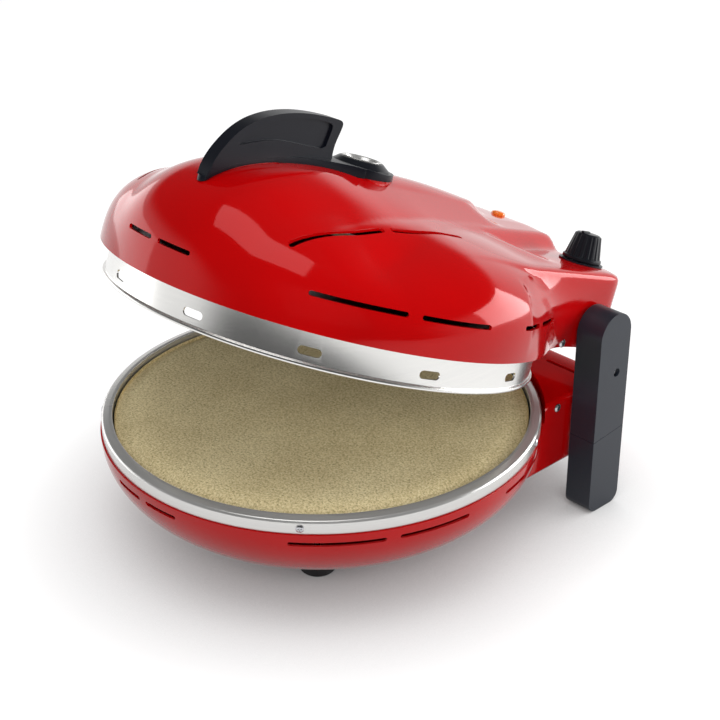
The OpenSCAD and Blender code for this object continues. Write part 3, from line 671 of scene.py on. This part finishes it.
def dome_mesh():
    """The dome: a ring drawn in towards its centre row by row, each row set on the sculpted surface."""
    rises = [LOW_RISE * k / LOW_ROWS for k in range(LOW_ROWS)]
    rises += [mix(LOW_RISE, math.pi / 2, k / TOP_ROWS) for k in range(TOP_ROWS)]
    bpy.ops.object.select_all(action="DESELECT")
    bpy.ops.mesh.primitive_circle_add(vertices=DOME_SIDES, radius=1, fill_type="NOTHING")
    obj = added("lid_dome")
    bpy.ops.object.mode_set(mode="EDIT")
    bpy.ops.mesh.select_all(action="SELECT")
    for before, after in zip(rises, rises[1:]):
        k = (math.pi / 2 - after) / (math.pi / 2 - before)
        bpy.ops.mesh.extrude_region_move()
        bpy.ops.transform.resize(value=(k, k, 1), center_override=(0, 0, 0))
    bpy.ops.mesh.edge_face_add()
    bpy.ops.mesh.poke()
    bpy.ops.object.mode_set(mode="OBJECT")
    for v in obj.data.vertices:
        inwards = 1 - min(1.0, math.hypot(v.co.x, v.co.y))
        v.co = dome_point(math.atan2(v.co.y, v.co.x), math.pi / 2 * inwards)
    return obj


def arc_slot(r, z, first, last, height, steps=14):
    """A cutter for a slot with round ends that runs round the centre at radius r."""
    ends = 5
    half = math.degrees(height / 2 / r)
    turns = [math.pi * k / ends for k in range(1, ends)]
    along = [mix(first + half, last - half, i / steps) for i in range(steps + 1)]
    loop = [(a, z + height / 2) for a in along]
    loop += [(last - half + half * math.sin(t), z + height / 2 * math.cos(t)) for t in turns]
    loop += [(a, z - height / 2) for a in reversed(along)]
    loop += [(first + half - half * math.sin(t), z - height / 2 * math.cos(t)) for t in turns]
    obj = raised("slot", loop, -14 * MM, 12 * MM)
    for v in obj.data.vertices:
        v.co = round_at(v.co.x, r + v.co.z, v.co.y).translation
    return recalculated(obj)


def path_slot(points, width, low, high, ends=6):
    """A cutter for a narrow slot along points in plan, cut straight down."""
    def cap(centre, start):
        return [Vector(centre) + Matrix.Rotation(-math.pi * k / ends, 2) @ start for k in range(1, ends)]

    left, right = [], []
    for i, p in enumerate(points):
        along = (Vector(points[min(i + 1, len(points) - 1)]) - Vector(points[max(i - 1, 0)])).normalized()
        side = Vector((-along.y, along.x)) * width / 2
        left.append(Vector(p) + side)
        right.append(Vector(p) - side)
    loop = left + cap(points[-1], left[-1] - Vector(points[-1])) + right[::-1]
    loop += cap(points[0], right[0] - Vector(points[0]))
    return raised("slot", [tuple(p) for p in loop], low, high)


SHOULDER_SLOTS = [[(82, -130), (85.4, -112), (86.8, -90), (86.9, -70), (86.6, -54)],
                  [(87.4, -43), (90.5, -30), (93.6, -17), (95.6, 0), (96.6, 17)]]


def shoulder_slots():
    """Two long slots on the right shoulder of the dome, one behind the other."""
    return [path_slot(in_mm(smoothed(p)), SHOULDER_SLOT_W, 55 * MM, 130 * MM) for p in SHOULDER_SLOTS]


def smoothed(points, rounds=2):
    """The same line with its corners cut off evenly, ends kept."""
    for _ in range(rounds):
        line = [points[0]]
        for (x0, y0), (x1, y1) in zip(points, points[1:]):
            line += [(mix(x0, x1, 0.25), mix(y0, y1, 0.25)), (mix(x0, x1, 0.75), mix(y0, y1, 0.75))]
        points = line + [points[-1]]
    return points


# Where dome and tail meet: everything beyond this x, between these y and between these z
FOLD_X, FOLD_Y, FOLD_Z = 106 * MM, (36 * MM, 145 * MM), (28 * MM, 78 * MM)


def soften_fold(obj, rounds=150):
    """Smooths the hollow corner where the dome runs into the tail's side wall, as with the smooth brush."""
    only(obj)
    bpy.ops.object.mode_set(mode="EDIT")
    mesh = bmesh.from_edit_mesh(obj.data)
    for v in mesh.verts:
        inside = FOLD_Y[0] < v.co.y < FOLD_Y[1] and FOLD_Z[0] < v.co.z < FOLD_Z[1]
        v.select_set(abs(v.co.x) > FOLD_X and inside)
    mesh.select_flush_mode()
    bmesh.update_edit_mesh(obj.data)
    bpy.ops.mesh.vertices_smooth(factor=0.5, repeat=rounds)
    bpy.ops.object.mode_set(mode="OBJECT")


def lid_shell():
    """The painted dome with its tail, air slots and holes."""
    obj = dome_mesh()
    soften_fold(obj)
    recalculated(obj)
    if sum(f.normal.z for f in obj.data.polygons) < 0:
        obj.data.flip_normals()
    modify(obj, "SOLIDIFY", thickness=SHELL_T, offset=-1, use_even_offset=False)
    cut(obj, handle_seat(), "UNION")
    for first, last in VENT_ARCS:
        cut(obj, arc_slot(DOME_R, LID_VENT_Z, first, last, VENT_H))
    for slot in shoulder_slots():
        cut(obj, copied(slot, MIRROR))
        cut(obj, slot)
    cut(obj, cylinder("hole", LAMP_HOLE_R, 70 * MM, 120 * MM, sides=48, at=LAMP_AT.xy))
    cut(obj, cylinder("hole", KNOB_HOLE_R, 60 * MM, 120 * MM, sides=48, at=KNOB_AT.xy))
    cut(obj, cylinder("hole", SIGHT_R, 90 * MM, 140 * MM, sides=64, at=(0, SIGHT_Y)))
    smooth(obj, 58)
    return fit(obj, LID, "lid", "red_paint", RED, "lid_shell")


# ---- bands ---------------------------------------------------------------------------------------

BAND_HOLES = 12
BAND_HOLE_PHASE = 13
BAND_HOLE_Z = 10.5 * MM


def lid_band():
    """The lid's silver band: a wall with a rolled lip below and a ledge that meets the dome above."""
    r = LID_BAND_R
    section = beside(r, [(-3, 1, 0.5), (-2, 0), (1.9, 0, 0.8), (2.3, 1.2, 0.8), (1.9, 2.6, 0.8),
                         (0, 2.8, 0.6), (0, 26, 0.5)])
    section += beside(DOME_R - SHELL_T, [(-0.4, 26), (-0.4, 27.2)])
    section += beside(r, [(-1.4, 28.8), (-1.4, 3, 0.6), (-3, 2.2, 0.4)])
    obj = turned("lid_silver_band", rounded_section(section), 240)
    for k in range(BAND_HOLES):
        hole = raised("hole", stadium(8.2 * MM, 3 * MM), -6 * MM, 8 * MM)
        hole.data.transform(round_at(BAND_HOLE_PHASE + 360 / BAND_HOLES * k, r, BAND_HOLE_Z) @ SIDEWAYS)
        cut(obj, hole)
    smooth(obj, 30)
    return fit(obj, LID, "lid", "polished_steel", LID_STEEL, "lid_band")


def stadium(half_length, r, steps=10):
    """Outline of a slot with round ends along X."""
    ends = []
    for side in (1, -1):
        for k in range(steps + 1):
            a = side * math.pi / 2 - math.pi * k / steps
            ends.append((side * (half_length - r) + r * math.cos(a), r * math.sin(a)))
    return ends


def base_band():
    """The silver rim ring: a sloping top, a wall and a hidden flange that the bowl hangs from."""
    r, inner, low = RIM_R, RIM_R - 8.5 * MM, -BAND_H + 0.3 * MM
    section = beside(inner, [(0, -5, 0.2), (0, 0.7, 0.5), (2.6, 0.6, 1.6)])
    section += beside(r, [(-1.2, -0.4, 2), (0, -1.9, 1)])
    section += [(r, low, 0.4 * MM), (r - 3.2 * MM, low)]
    section += beside(r, [(-3.2, -20), (-4.4, -20), (-4.4, -9), (-1.5, -9), (-1.5, -1.5)])
    section += beside(inner, [(1.2, -1.5), (1.2, -5, 0.2)])
    obj = turned("base_silver_band", rounded_section(section), 240)
    smooth(obj, 30)
    return fit(obj, BASE, "base", "polished_steel", STEEL_DARKENED_AS_SHADE, "base_band")


# ---- base shell ----------------------------------------------------------------------------------

def bowl(inset, steps=40):
    """The bowl's solid about Z, inset from the outer face."""
    section = [((BOWL_R - inset) * math.cos(a) ** 0.8 if a < math.pi / 2 else 0.0,
                -BAND_H - (BOWL_DEPTH - inset) * math.sin(a) ** 0.92)
               for a in (math.pi / 2 * i / steps for i in range(steps + 1))]
    return turned("bowl", section + [(0.0, -BAND_H)], 240)


def tail_outline(inset, front):
    """The tail seen from above, from its front right corner round the rear."""
    w, y, r = TAIL_W - inset, TAIL_Y - inset, TAIL_CORNER - inset
    corner = [(w - r + r * math.cos(a), y - r + r * math.sin(a)) for a in arc(0, 90, 10)]
    return [(w, front)] + corner + [(-x, q) for x, q in reversed(corner)] + [(-w, front)]


def base_tail(inset):
    """The square tail behind the bowl, without the round well for the lid."""
    obj = raised("tail", tail_outline(inset, 60 * MM), TAIL_LOW + inset, DECK_Z - inset)
    if inset == 0:
        bevel(obj, 4 * MM, 4, 60)
    well = cylinder("well", BOWL_R + 1.4 * MM + inset, -BAND_H - inset, 60 * MM, sides=240)
    return cut(obj, well)


def base_shell():
    """The painted bowl and tail with their air slots."""
    obj = bowl(0)
    cut(obj, base_tail(0), "UNION")
    cut(obj, bowl(SHELL_T))
    cut(obj, base_tail(SHELL_T))
    for first, last in VENT_ARCS:
        cut(obj, arc_slot(BOWL_R, BASE_VENT_Z, first, last, VENT_H))
    for side in (1, -1):
        cut(obj, path_slot([(side * x, DECK_SLOT_Y) for x in DECK_SLOT_X], VENT_H, -5 * MM, 8 * MM))
    smooth(obj, 32)
    return fit(obj, BASE, "base", "red_paint", RED, "base_shell")


# ---- arms ----------------------------------------------------------------------------------------

ARM_X = (133 * MM, 157 * MM)
ARM_Y, ARM_HALF = 160 * MM, 18 * MM
ARM_TOP, ARM_CORNER = 76 * MM, 9 * MM
ARM_WALL = 2.6 * MM
SPLIT_Z, SPLIT_TILT = -28 * MM, math.radians(5.7)
ARM_SCREW_Y, ARM_SCREW_Z, ARM_HOLE_R = 164 * MM, 25 * MM, 3.4 * MM
ARM_EDGE = 4.6 * MM


def arm_outline(inset):
    """Side outline (y, z) of an arm: a pill with a nearly square foot."""
    r, middle = ARM_HALF - inset, ARM_TOP - ARM_HALF
    loop = [(ARM_Y + r * math.cos(a), middle + r * math.sin(a)) for a in arc(0, 180, 32)]
    r, foot = ARM_CORNER - inset, ARM_CORNER - rim.z
    for side, first in ((-1, 180), (1, 270)):
        y = ARM_Y + side * (ARM_HALF - ARM_CORNER)
        loop += [(y + r * math.cos(a), foot + r * math.sin(a)) for a in arc(first, first + 90, 8)]
    return loop


def half_space(part):
    """All that lies above (1) or below (-1) the slanted split of an arm's cover."""
    gap, reach = part * SPLIT_GAP / 2, part * 0.3
    half = block("half", (0.1, 0.1, min(gap, reach)), (0.2, 0.25, max(gap, reach)))
    half.data.transform(Matrix.Translation((0, ARM_Y, SPLIT_Z)) @ Matrix.Rotation(SPLIT_TILT, 4, "X")
                        @ Matrix.Translation((0, -ARM_Y, 0)))
    return half


def arm_cover(part, side):
    """Upper (1) or lower (-1) half of an arm's plastic cover."""
    obj = sideways("arm", arm_outline(0), *ARM_X)
    bevel_outer(obj, ARM_X[1])
    inner = sideways("inner", arm_outline(ARM_WALL), ARM_X[0] - 5 * MM, ARM_X[1] - ARM_WALL)
    cut(obj, inner)
    cut(obj, half_space(part), "INTERSECT")
    if part > 0:
        hole = cylinder("hole", ARM_HOLE_R, 0, 40 * MM, sides=48)
        hole.data.transform(Matrix.Translation((ARM_X[0] - 3 * MM, ARM_SCREW_Y, ARM_SCREW_Z))
                            @ Matrix.Rotation(math.pi / 2, 4, "Y"))
        cut(obj, hole)
    bevel(obj, 0.35 * MM, 2, 60)
    if side < 0:
        obj = mirrored(obj)
    even(smooth(obj, 35))
    names = ("upper" if part > 0 else "lower", "right" if side > 0 else "left")
    obj.name = "arm_%s_%s" % names
    return fit(obj, BASE, "base", "black_plastic", ARM_PLASTIC, "arm_cover_%s_%s" % names)


def bevel_outer(obj, x):
    """Rounds the edge round the outer face at x."""
    only(obj)
    bpy.ops.object.mode_set(mode="EDIT")
    mesh = bmesh.from_edit_mesh(obj.data)
    for e in mesh.edges:
        e.select = all(abs(v.co.x - x) < 1e-6 for v in e.verts)
    bmesh.update_edit_mesh(obj.data)
    bpy.ops.mesh.bevel(offset=ARM_EDGE, segments=8, profile=0.5, affect="EDGES")
    bpy.ops.object.mode_set(mode="OBJECT")
    return obj


# ---- handle --------------------------------------------------------------------------------------

HANDLE_TIP = -149 * MM
NOSE_W = 4.5 * MM
SEAT_R = 26 * MM
PLATE_LOW = 113.6 * MM
BOSS_Z = 118.6 * MM


def plate_low(y):
    """Height of the handle plate's lower edge."""
    return min(lid_height(0.0, y) + 0.4 * MM, PLATE_LOW)


def plate_top(y):
    """Height of the handle plate's top, which rises to the boss of the sight glass."""
    return mix(lid_height(0.0, y) + 4.6 * MM, BOSS_Z, ease((y + 30 * MM) / (45 * MM)))


def plate_half(y):
    """Half width of the handle's plate: slim under the fin, wide at the round seat of the sight glass."""
    u = (y - HANDLE_TIP) / (134 * MM)
    return NOSE_W + (SEAT_R - NOSE_W) * max(0.0, u) ** 4


def handle_plan(inset=0.0):
    """Outline of the plate seen from above, from the nose round the right side to the rear and back."""
    r = SEAT_R - inset
    nose = [(NOSE_W * math.sin(a) - inset * math.sin(a), HANDLE_TIP + NOSE_W + (inset - NOSE_W) * math.cos(a))
            for a in arc(0, 90, 6)]
    ys = [mix(HANDLE_TIP + 8 * MM, -17 * MM, k / 30) for k in range(31)]
    sides = [(plate_half(y) - inset, y) for y in ys]
    rear = [(r * math.cos(a), SIGHT_Y + r * math.sin(a)) for a in arc(-35, 90, 20)]
    right = nose + sides + rear
    return right + [(-x, y) for x, y in right[-2:0:-1]]


def ridge_strip(low, high):
    """A prism across the handle between two heights that are given as functions of y."""
    ys = [mix(HANDLE_TIP - 2 * MM, SIGHT_Y + SEAT_R + 2 * MM, k / 48) for k in range(49)]
    lower = [(y, low(max(y, HANDLE_TIP))) for y in ys]
    upper = [(y, high(max(y, HANDLE_TIP))) for y in ys]
    return sideways("strip", lower + upper[::-1], -40 * MM, 40 * MM)


def handle_plate():
    """The black plate under the fin, its underside cut to the curve of the dome's ridge."""
    obj = raised("handle_base", handle_plan(), 80 * MM, 140 * MM)
    cut(obj, ridge_strip(plate_low, plate_top), "INTERSECT")
    cut(obj, cylinder("hole", SIGHT_R, 90 * MM, 140 * MM, sides=64, at=(0, SIGHT_Y)))
    bevel(obj, 1.1 * MM, 4, 50)
    smooth(obj, 35)
    return fit(obj, LID, "lid", "black_plastic", HANDLE_PLASTIC, "handle_plate")


def seat_top(y):
    """Height of the seat's top, a hair below the plate."""
    return plate_low(y) - 0.1 * MM


def seat_bottom(y):
    return seat_top(y) - 12 * MM


def handle_seat():
    """The red seat that is pressed out of the dome under the plate."""
    obj = raised("handle_seat", handle_plan(0.5 * MM), 96 * MM, PLATE_LOW)
    return cut(obj, ridge_strip(seat_bottom, seat_top), "INTERSECT")


# Side view of the fin and of its panel, from the front over the top to the rear
FIN_CREST = [(-147.5, 97), (-144.7, 108.1), (-139, 118.5), (-129.8, 129.8), (-119.5, 137.9), (-108.1, 143.3),
             (-96, 147.1), (-83.2, 149.6), (-69.9, 150.9), (-56, 151.2), (-41.4, 150.7), (-34.5, 150.0),
             (-32.0, 147.6), (-33.4, 141), (-35.3, 134), (-35.8, 128.1), (-35.2, 121.5)]
FIN_PANEL = [(-125.8, 121.7), (-113.3, 125.1), (-101, 128), (-87.9, 129.2), (-74, 128.9), (-58.2, 128),
             (-44.7, 128), (-43.2, 136), (-41.7, 145.2), (-45.3, 147), (-59.8, 147.9), (-80.1, 146.1),
             (-99.1, 142.2), (-110.5, 136.7), (-119, 129.6)]
FIN_HALF = 6 * MM
FIN_PANEL_DEPTH = 2.2 * MM


def handle_fin():
    """The fin: a thin blade with a rounded crest, a shallow panel on each side and a crevice at its foot."""
    foot = [(y * MM, plate_top(y * MM) - 0.6 * MM) for y in range(-36, -148, -6)]
    crest = in_mm(smoothed(FIN_CREST))
    obj = sideways("handle_blade", crest + foot, -FIN_HALF, FIN_HALF)
    cut(obj, raised("plan", handle_plan(-1.2 * MM), 80 * MM, 170 * MM), "INTERSECT")
    bevel(obj, 4.2 * MM, 7, 42)
    panel = in_mm(smoothed(FIN_PANEL, 1))
    for sign in (1, -1):
        recess = bevel(sideways("panel", panel, FIN_HALF - FIN_PANEL_DEPTH, 20 * MM), 0.3 * MM, 2, 60)
        cut(obj, recess if sign > 0 else mirrored(recess))
    even(smooth(obj, 35))
    return fit(obj, LID, "lid", "black_plastic", HANDLE_PLASTIC, "handle_fin")


def sight_window():
    """A conical black boss with a chrome ring at its top and a dished dark glass in it."""
    at = LID @ Matrix.Translation((0, SIGHT_Y, BOSS_Z))
    bezel = turned("sight_bezel_ring", rounded_section(in_mm([
        (15, 0, 0), (22.4, 0, 0), (22.4, 0.9, 0.5), (16.8, 5.2, 1.2), (15.6, 5.5, 0.4),
        (15, 5.1, 0.2)])), 120)
    fit(smooth(bezel), at, "lid", "black_plastic", KNOB_PLASTIC, "sight_bezel")
    trim = turned("sight_chrome_ring", rounded_section(in_mm([
        (12.2, 3.2, 0.3), (14.8, 3.2, 0), (14.8, 5.4, 0), (15.4, 5.8, 0.3), (14.6, 6.4, 0.5),
        (13.6, 5.9, 0.4), (12.2, 3.8, 0.3)])), 120)
    fit(smooth(trim), at, "lid", "polished_steel", STEEL_DARKENED_AS_SHADE, "sight_retainer")
    pane = turned("sight_pane", in_mm([
        (0, 0.2), (14.8, 0.2), (14.8, 3.1), (12, 3.0), (8, 2.5), (4, 2.2), (0, 2.1)]), 96)
    fit(smooth(pane), at, "lid", "clear_glass", GLASS, "sight_glass")


# ---- knob and lamp --------------------------------------------------------------------------------

GRIP_FLUTES = 18


def knob():
    """The tapered control knob, with flutes all round and a raised pointer across half its top."""
    at = LID @ Matrix.Translation((KNOB_AT.x, KNOB_AT.y, KNOB_AT.z + 1.5 * MM))
    r, h = KNOB_R, KNOB_H
    section = [(0, 0, 0)] + beside(r, [(-0.4, 0, 0.3), (0, 1, 0.4), (-0.2, 2.8, 0.4), (-1.4, 3.4, 0.3)])
    section += [(r - 5 * MM, h - 1.6 * MM, 1.2 * MM), (r - 7 * MM, h - 0.4 * MM, 0.5 * MM), (0, h, 0)]
    obj = turned("control_knob", rounded_section(section), 144)
    lean = (Matrix.Translation((r - 0.3 * MM, 0, 3.6 * MM)) @ Matrix.Rotation(math.radians(-11), 4, "Y"))
    for k in range(GRIP_FLUTES):
        groove = cylinder("groove", 1.9 * MM, 0, h + 4 * MM, sides=20)
        groove.data.transform(Matrix.Rotation(TAU * (k + 0.5) / GRIP_FLUTES, 4, "Z") @ lean)
        cut(obj, groove)
    pointer = block("pointer", (-1.4 * MM, -r + 6.6 * MM, h - 4 * MM), (1.4 * MM, 0, h + 1.2 * MM))
    bevel(pointer, 0.6 * MM, 3)
    cut(obj, pointer, "UNION")
    smooth(obj, 32)
    return fit(obj, at, "knob", "black_plastic", KNOB_PLASTIC, "thermostat_knob")


def lamp():
    """The pilot lamp's flat amber lens."""
    at = LID @ Matrix.Translation(LAMP_AT)
    foot = in_mm([(0, 0), (5.7, 0), (6, 0.3), (6, 1.8), (5.7, 2.1)])
    crown = [(5.6 * MM * math.cos(a), 2.2 * MM + 1.7 * MM * math.sin(a)) for a in arc(0, 90, 8)[:-1]]
    obj = turned("lamp_lens", foot + crown + in_mm([(0, 3.9)]), 64)
    return fit(smooth(obj), at, "lid", "amber_lens", AMBER, "pilot_lamp_lens")


# ---- stone and screws -----------------------------------------------------------------------------

def stone():
    """The baking stone: a disc with small bevels, its top divided into rings so that it shades evenly."""
    r, top = STONE_R, -STONE_BELOW_RIM
    low = top - STONE_T
    edge = rounded_section([(r - 1 * MM, low), (r, low + 1 * MM), (r, top, 1.6 * MM)], 0)
    rings = [(r * k / 12, top) for k in range(11, -1, -1)]
    obj = turned("stone_disc", [(0, low)] + edge + rings, 240)
    smooth(obj, 40)
    return fit(obj, BASE, "base", "stone", STONE, "baking_stone")


def screw_head(r, h):
    """A low domed head with a cross recess, its axis along +X from 0."""
    section = [(0, 0, 0), (r, 0, 0.1 * MM), (r, h * 0.45, 0.3 * MM), (r * 0.6, h, 0.5 * MM), (0, h, 0)]
    head = turned("head", rounded_section(section), 40)
    for turn in (0, math.pi / 2):
        bar = block("bar", (-r * 0.55, -0.35 * MM, h * 0.45), (r * 0.55, 0.35 * MM, h * 2))
        bar.data.transform(Matrix.Rotation(turn, 4, "Z"))
        cut(head, bar)
    head.data.transform(Matrix.Rotation(math.pi / 2, 4, "Y"))
    return head


def screws(name, head, places, place, body, node):
    """Copies of one head at all its places, in one piece."""
    copies = [copied(head, m) for m in places]
    bpy.data.objects.remove(head)
    obj = smooth(joined(name, copies), 35)
    return fit(obj, place, body, "polished_steel", SCREW, node)


def all_screws():
    """Heads of the screws that show: on both bands and at the sides of base and lid."""
    screws("band_screw_heads", screw_head(3 * MM, 1.3 * MM),
           [round_at(a, RIM_R, -6 * MM) for a in BAND_SCREWS], BASE, "base", "band_screws")
    screws("lid_band_screw_heads", screw_head(2.8 * MM, 1.2 * MM),
           [round_at(a, LID_BAND_R, 19 * MM) for a in LID_BAND_SCREWS], LID, "lid", "lid_band_screws")
    tail = Matrix.Translation((TAIL_W, 128 * MM, -3 * MM))
    screws("tail_screw_heads", screw_head(3.4 * MM, 1.6 * MM), [tail, MIRROR @ tail], BASE, "base",
           "tail_screws")
    lid_side = Matrix.Translation((TAIL_W + 1.0 * MM, 127.6 * MM, 28 * MM))
    screws("lid_side_screw_heads", screw_head(3.4 * MM, 1.6 * MM), [lid_side, MIRROR @ lid_side], LID, "lid",
           "lid_side_screws")


# ---- floor, light and camera ---------------------------------------------------------------------

def wired(tree, kind, operation=None, **inputs):
    """A node in this tree with its numbered or named inputs set or linked."""
    node = tree.nodes.new(kind)
    if operation:
        node.operation = operation
    for key, value in inputs.items():
        socket = node.inputs[int(key[1:]) if key[1:].isdigit() else key]
        if isinstance(value, bpy.types.NodeSocket):
            tree.links.new(value, socket)
        else:
            socket.default_value = value
    return node


def stepped_range(tree, value, from_span, to_span):
    """Turns one span of values into another, with a soft start and end."""
    node = wired(tree, "ShaderNodeMapRange", Value=value)
    node.interpolation_type = "SMOOTHSTEP"
    for key, number in zip(("From Min", "From Max", "To Min", "To Max"), from_span + to_span):
        node.inputs[key].default_value = number
    return node.outputs["Result"]


def seen_directly(tree):
    """1 for what the camera sees, also in a mirror or through glass."""
    path = tree.nodes.new("ShaderNodeLightPath").outputs
    both = wired(tree, "ShaderNodeMath", "ADD", i0=path["Is Camera Ray"], i1=path["Is Glossy Ray"])
    total = wired(tree, "ShaderNodeMath", "ADD", i0=both.outputs[0], i1=path["Is Transmission Ray"])
    total.use_clamp = True
    return total.outputs[0]


def studio():
    """A white floor with a soft shadow, partly cast by the lamps and partly a painted shadow where ambient
    occlusion dims its glow near the oven; a pale backdrop behind the oven; the rest of the room is dark.
    """
    bpy.ops.object.select_all(action="DESELECT")
    bpy.ops.mesh.primitive_plane_add(size=12, location=(0, 0, -0.0004))
    floor = added("floor")
    s = Shader("floor", roughness=0.9, specular_ior_level=0.1)
    bounced = s.tree.nodes.new("ShaderNodeLightPath").outputs["Is Diffuse Ray"]
    s.colour(stepped_range(s.tree, bounced, (0, 1), (0.80, 0.35)))
    straight = s.tree.nodes.new("ShaderNodeLightPath").outputs["Is Camera Ray"]
    # Painted contact shadow: ambient occlusion dims the floor's glow near the oven, reaching further in
    # reflections than for the camera.
    painted_contact_shadow = s.add("ShaderNodeAmbientOcclusion", Distance=stepped_range(s.tree, straight, (0, 1), (0.20, 0.11)))
    painted_contact_shadow.samples = 8
    strength = wired(s.tree, "ShaderNodeMath", "MULTIPLY", i0=painted_contact_shadow.outputs["AO"], i1=1.36)
    glow = s.add("ShaderNodeEmission", Strength=strength.outputs[0])
    share = wired(s.tree, "ShaderNodeMath", "MULTIPLY", i0=seen_directly(s.tree), i1=0.62)
    blend = s.add("ShaderNodeMixShader", Fac=share.outputs[0])
    s.link(s.bsdf.outputs[0], blend.inputs[1])
    s.link(glow.outputs[0], blend.inputs[2])
    s.link(blend.outputs[0], s.tree.nodes["Material Output"].inputs["Surface"])
    floor.data.materials.append(s.mat)
    world = bpy.data.worlds.new("studio")
    bpy.context.scene.world = world
    world.use_nodes = True
    tree = world.node_tree
    heading = tree.nodes.new("ShaderNodeTexCoord").outputs["Generated"]
    behind = -bearing(CAMERA_AZIMUTH, 0)
    facing = wired(tree, "ShaderNodeVectorMath", "DOT_PRODUCT", i0=heading, i1=behind)
    height = wired(tree, "ShaderNodeSeparateXYZ", Vector=heading)
    sector = stepped_range(tree, facing.outputs["Value"], (-0.80, -0.20), (0.0, 1.0))
    low = stepped_range(tree, height.outputs["Z"], (0.18, 0.5), (1.0, 0.0))
    bright = wired(tree, "ShaderNodeMath", "MULTIPLY", i0=sector, i1=low)
    tree.links.new(stepped_range(tree, bright.outputs[0], (0, 1), (0.10, 1.0)),
                   tree.nodes["Background"].inputs["Strength"])
    tree.nodes["Background"].inputs["Color"].default_value = (1, 1, 1, 1)
    white = wired(tree, "ShaderNodeBackground", Color=(1, 1, 1, 1))
    camera_ray = tree.nodes.new("ShaderNodeLightPath").outputs["Is Camera Ray"]
    mixed = wired(tree, "ShaderNodeMixShader", Fac=camera_ray, i1=tree.nodes["Background"].outputs[0],
                  i2=white.outputs[0])
    tree.links.new(mixed.outputs[0], tree.nodes["World Output"].inputs["Surface"])


def softbox(name, at, aim, size, power, mirrored_in=True):
    """A flat lamp that the camera doesn't see, and that glossy pieces mirror only where this is asked for."""
    light = bpy.data.lights.new(name, "AREA")
    light.shape = "RECTANGLE"
    light.size, light.size_y = size
    light.energy = power
    obj = bpy.data.objects.new(name, light)
    bpy.context.scene.collection.objects.link(obj)
    obj.location = at
    obj.rotation_euler = (Vector(aim) - Vector(at)).to_track_quat("-Z", "Y").to_euler()
    obj.visible_glossy = mirrored_in
    obj.visible_camera = False


def lights():
    """A broad key from the front right, a soft top, and strips behind and at the left."""
    softbox("key", (1.5, -1.3, 1.15), (0, 0, 0.1), (1.6, 1.2), 27, mirrored_in=False)
    softbox("top", (0.15, -0.5, 2.0), (0, 0, 0.1), (1.2, 1.0), 9)
    softbox("above", (0.1, 0.3, 2.0), (0, 0, 0.1), (1.6, 1.2), 9, mirrored_in=False)
    softbox("rear_right", (1.15, 1.9, 0.45), (0, 0, 0.15), (1.8, 1.3), 42)
    softbox("left", (-2.2, -0.55, 0.35), (0, 0, 0.15), (2.4, 0.8), 9)


FOCAL_PX = 1586.96
FRAME_PX = 720
SENSOR = 36.0
CAMERA_DISTANCE = 1233.86 * MM
CAMERA_AZIMUTH, CAMERA_ELEVATION = 48.0, 29.01
AIM_AZIMUTH, AIM_ELEVATION = 46.43, 27.55


def bearing(azimuth, elevation):
    """Direction by its angles in degrees from the front towards the right, and upwards."""
    a, e = math.radians(azimuth), math.radians(elevation)
    return Vector((math.sin(a) * math.cos(e), -math.cos(a) * math.cos(e), math.sin(e)))


def camera():
    """The camera at the photograph's angle, aimed a little beside the rim's centre."""
    data = bpy.data.cameras.new("photo_camera")
    data.sensor_width = SENSOR
    data.lens = FOCAL_PX / FRAME_PX * SENSOR
    obj = bpy.data.objects.new("photo_camera", data)
    bpy.context.scene.collection.objects.link(obj)
    obj.location = rim + bearing(CAMERA_AZIMUTH, CAMERA_ELEVATION) * CAMERA_DISTANCE
    obj.rotation_euler = (-bearing(AIM_AZIMUTH, AIM_ELEVATION)).to_track_quat("-Z", "Y").to_euler()
    bpy.context.scene.camera = obj


camera()
studio()
lights()
lid_shell()
lid_band()
base_shell()
base_band()
for part in (1, -1):
    for side in (1, -1):
        arm_cover(part, side)
handle_plate()
handle_fin()
sight_window()
knob()
lamp()
stone()
all_screws()

scene = bpy.context.scene
scene.view_settings.view_transform = "Standard"
bpy.context.view_layer.update()
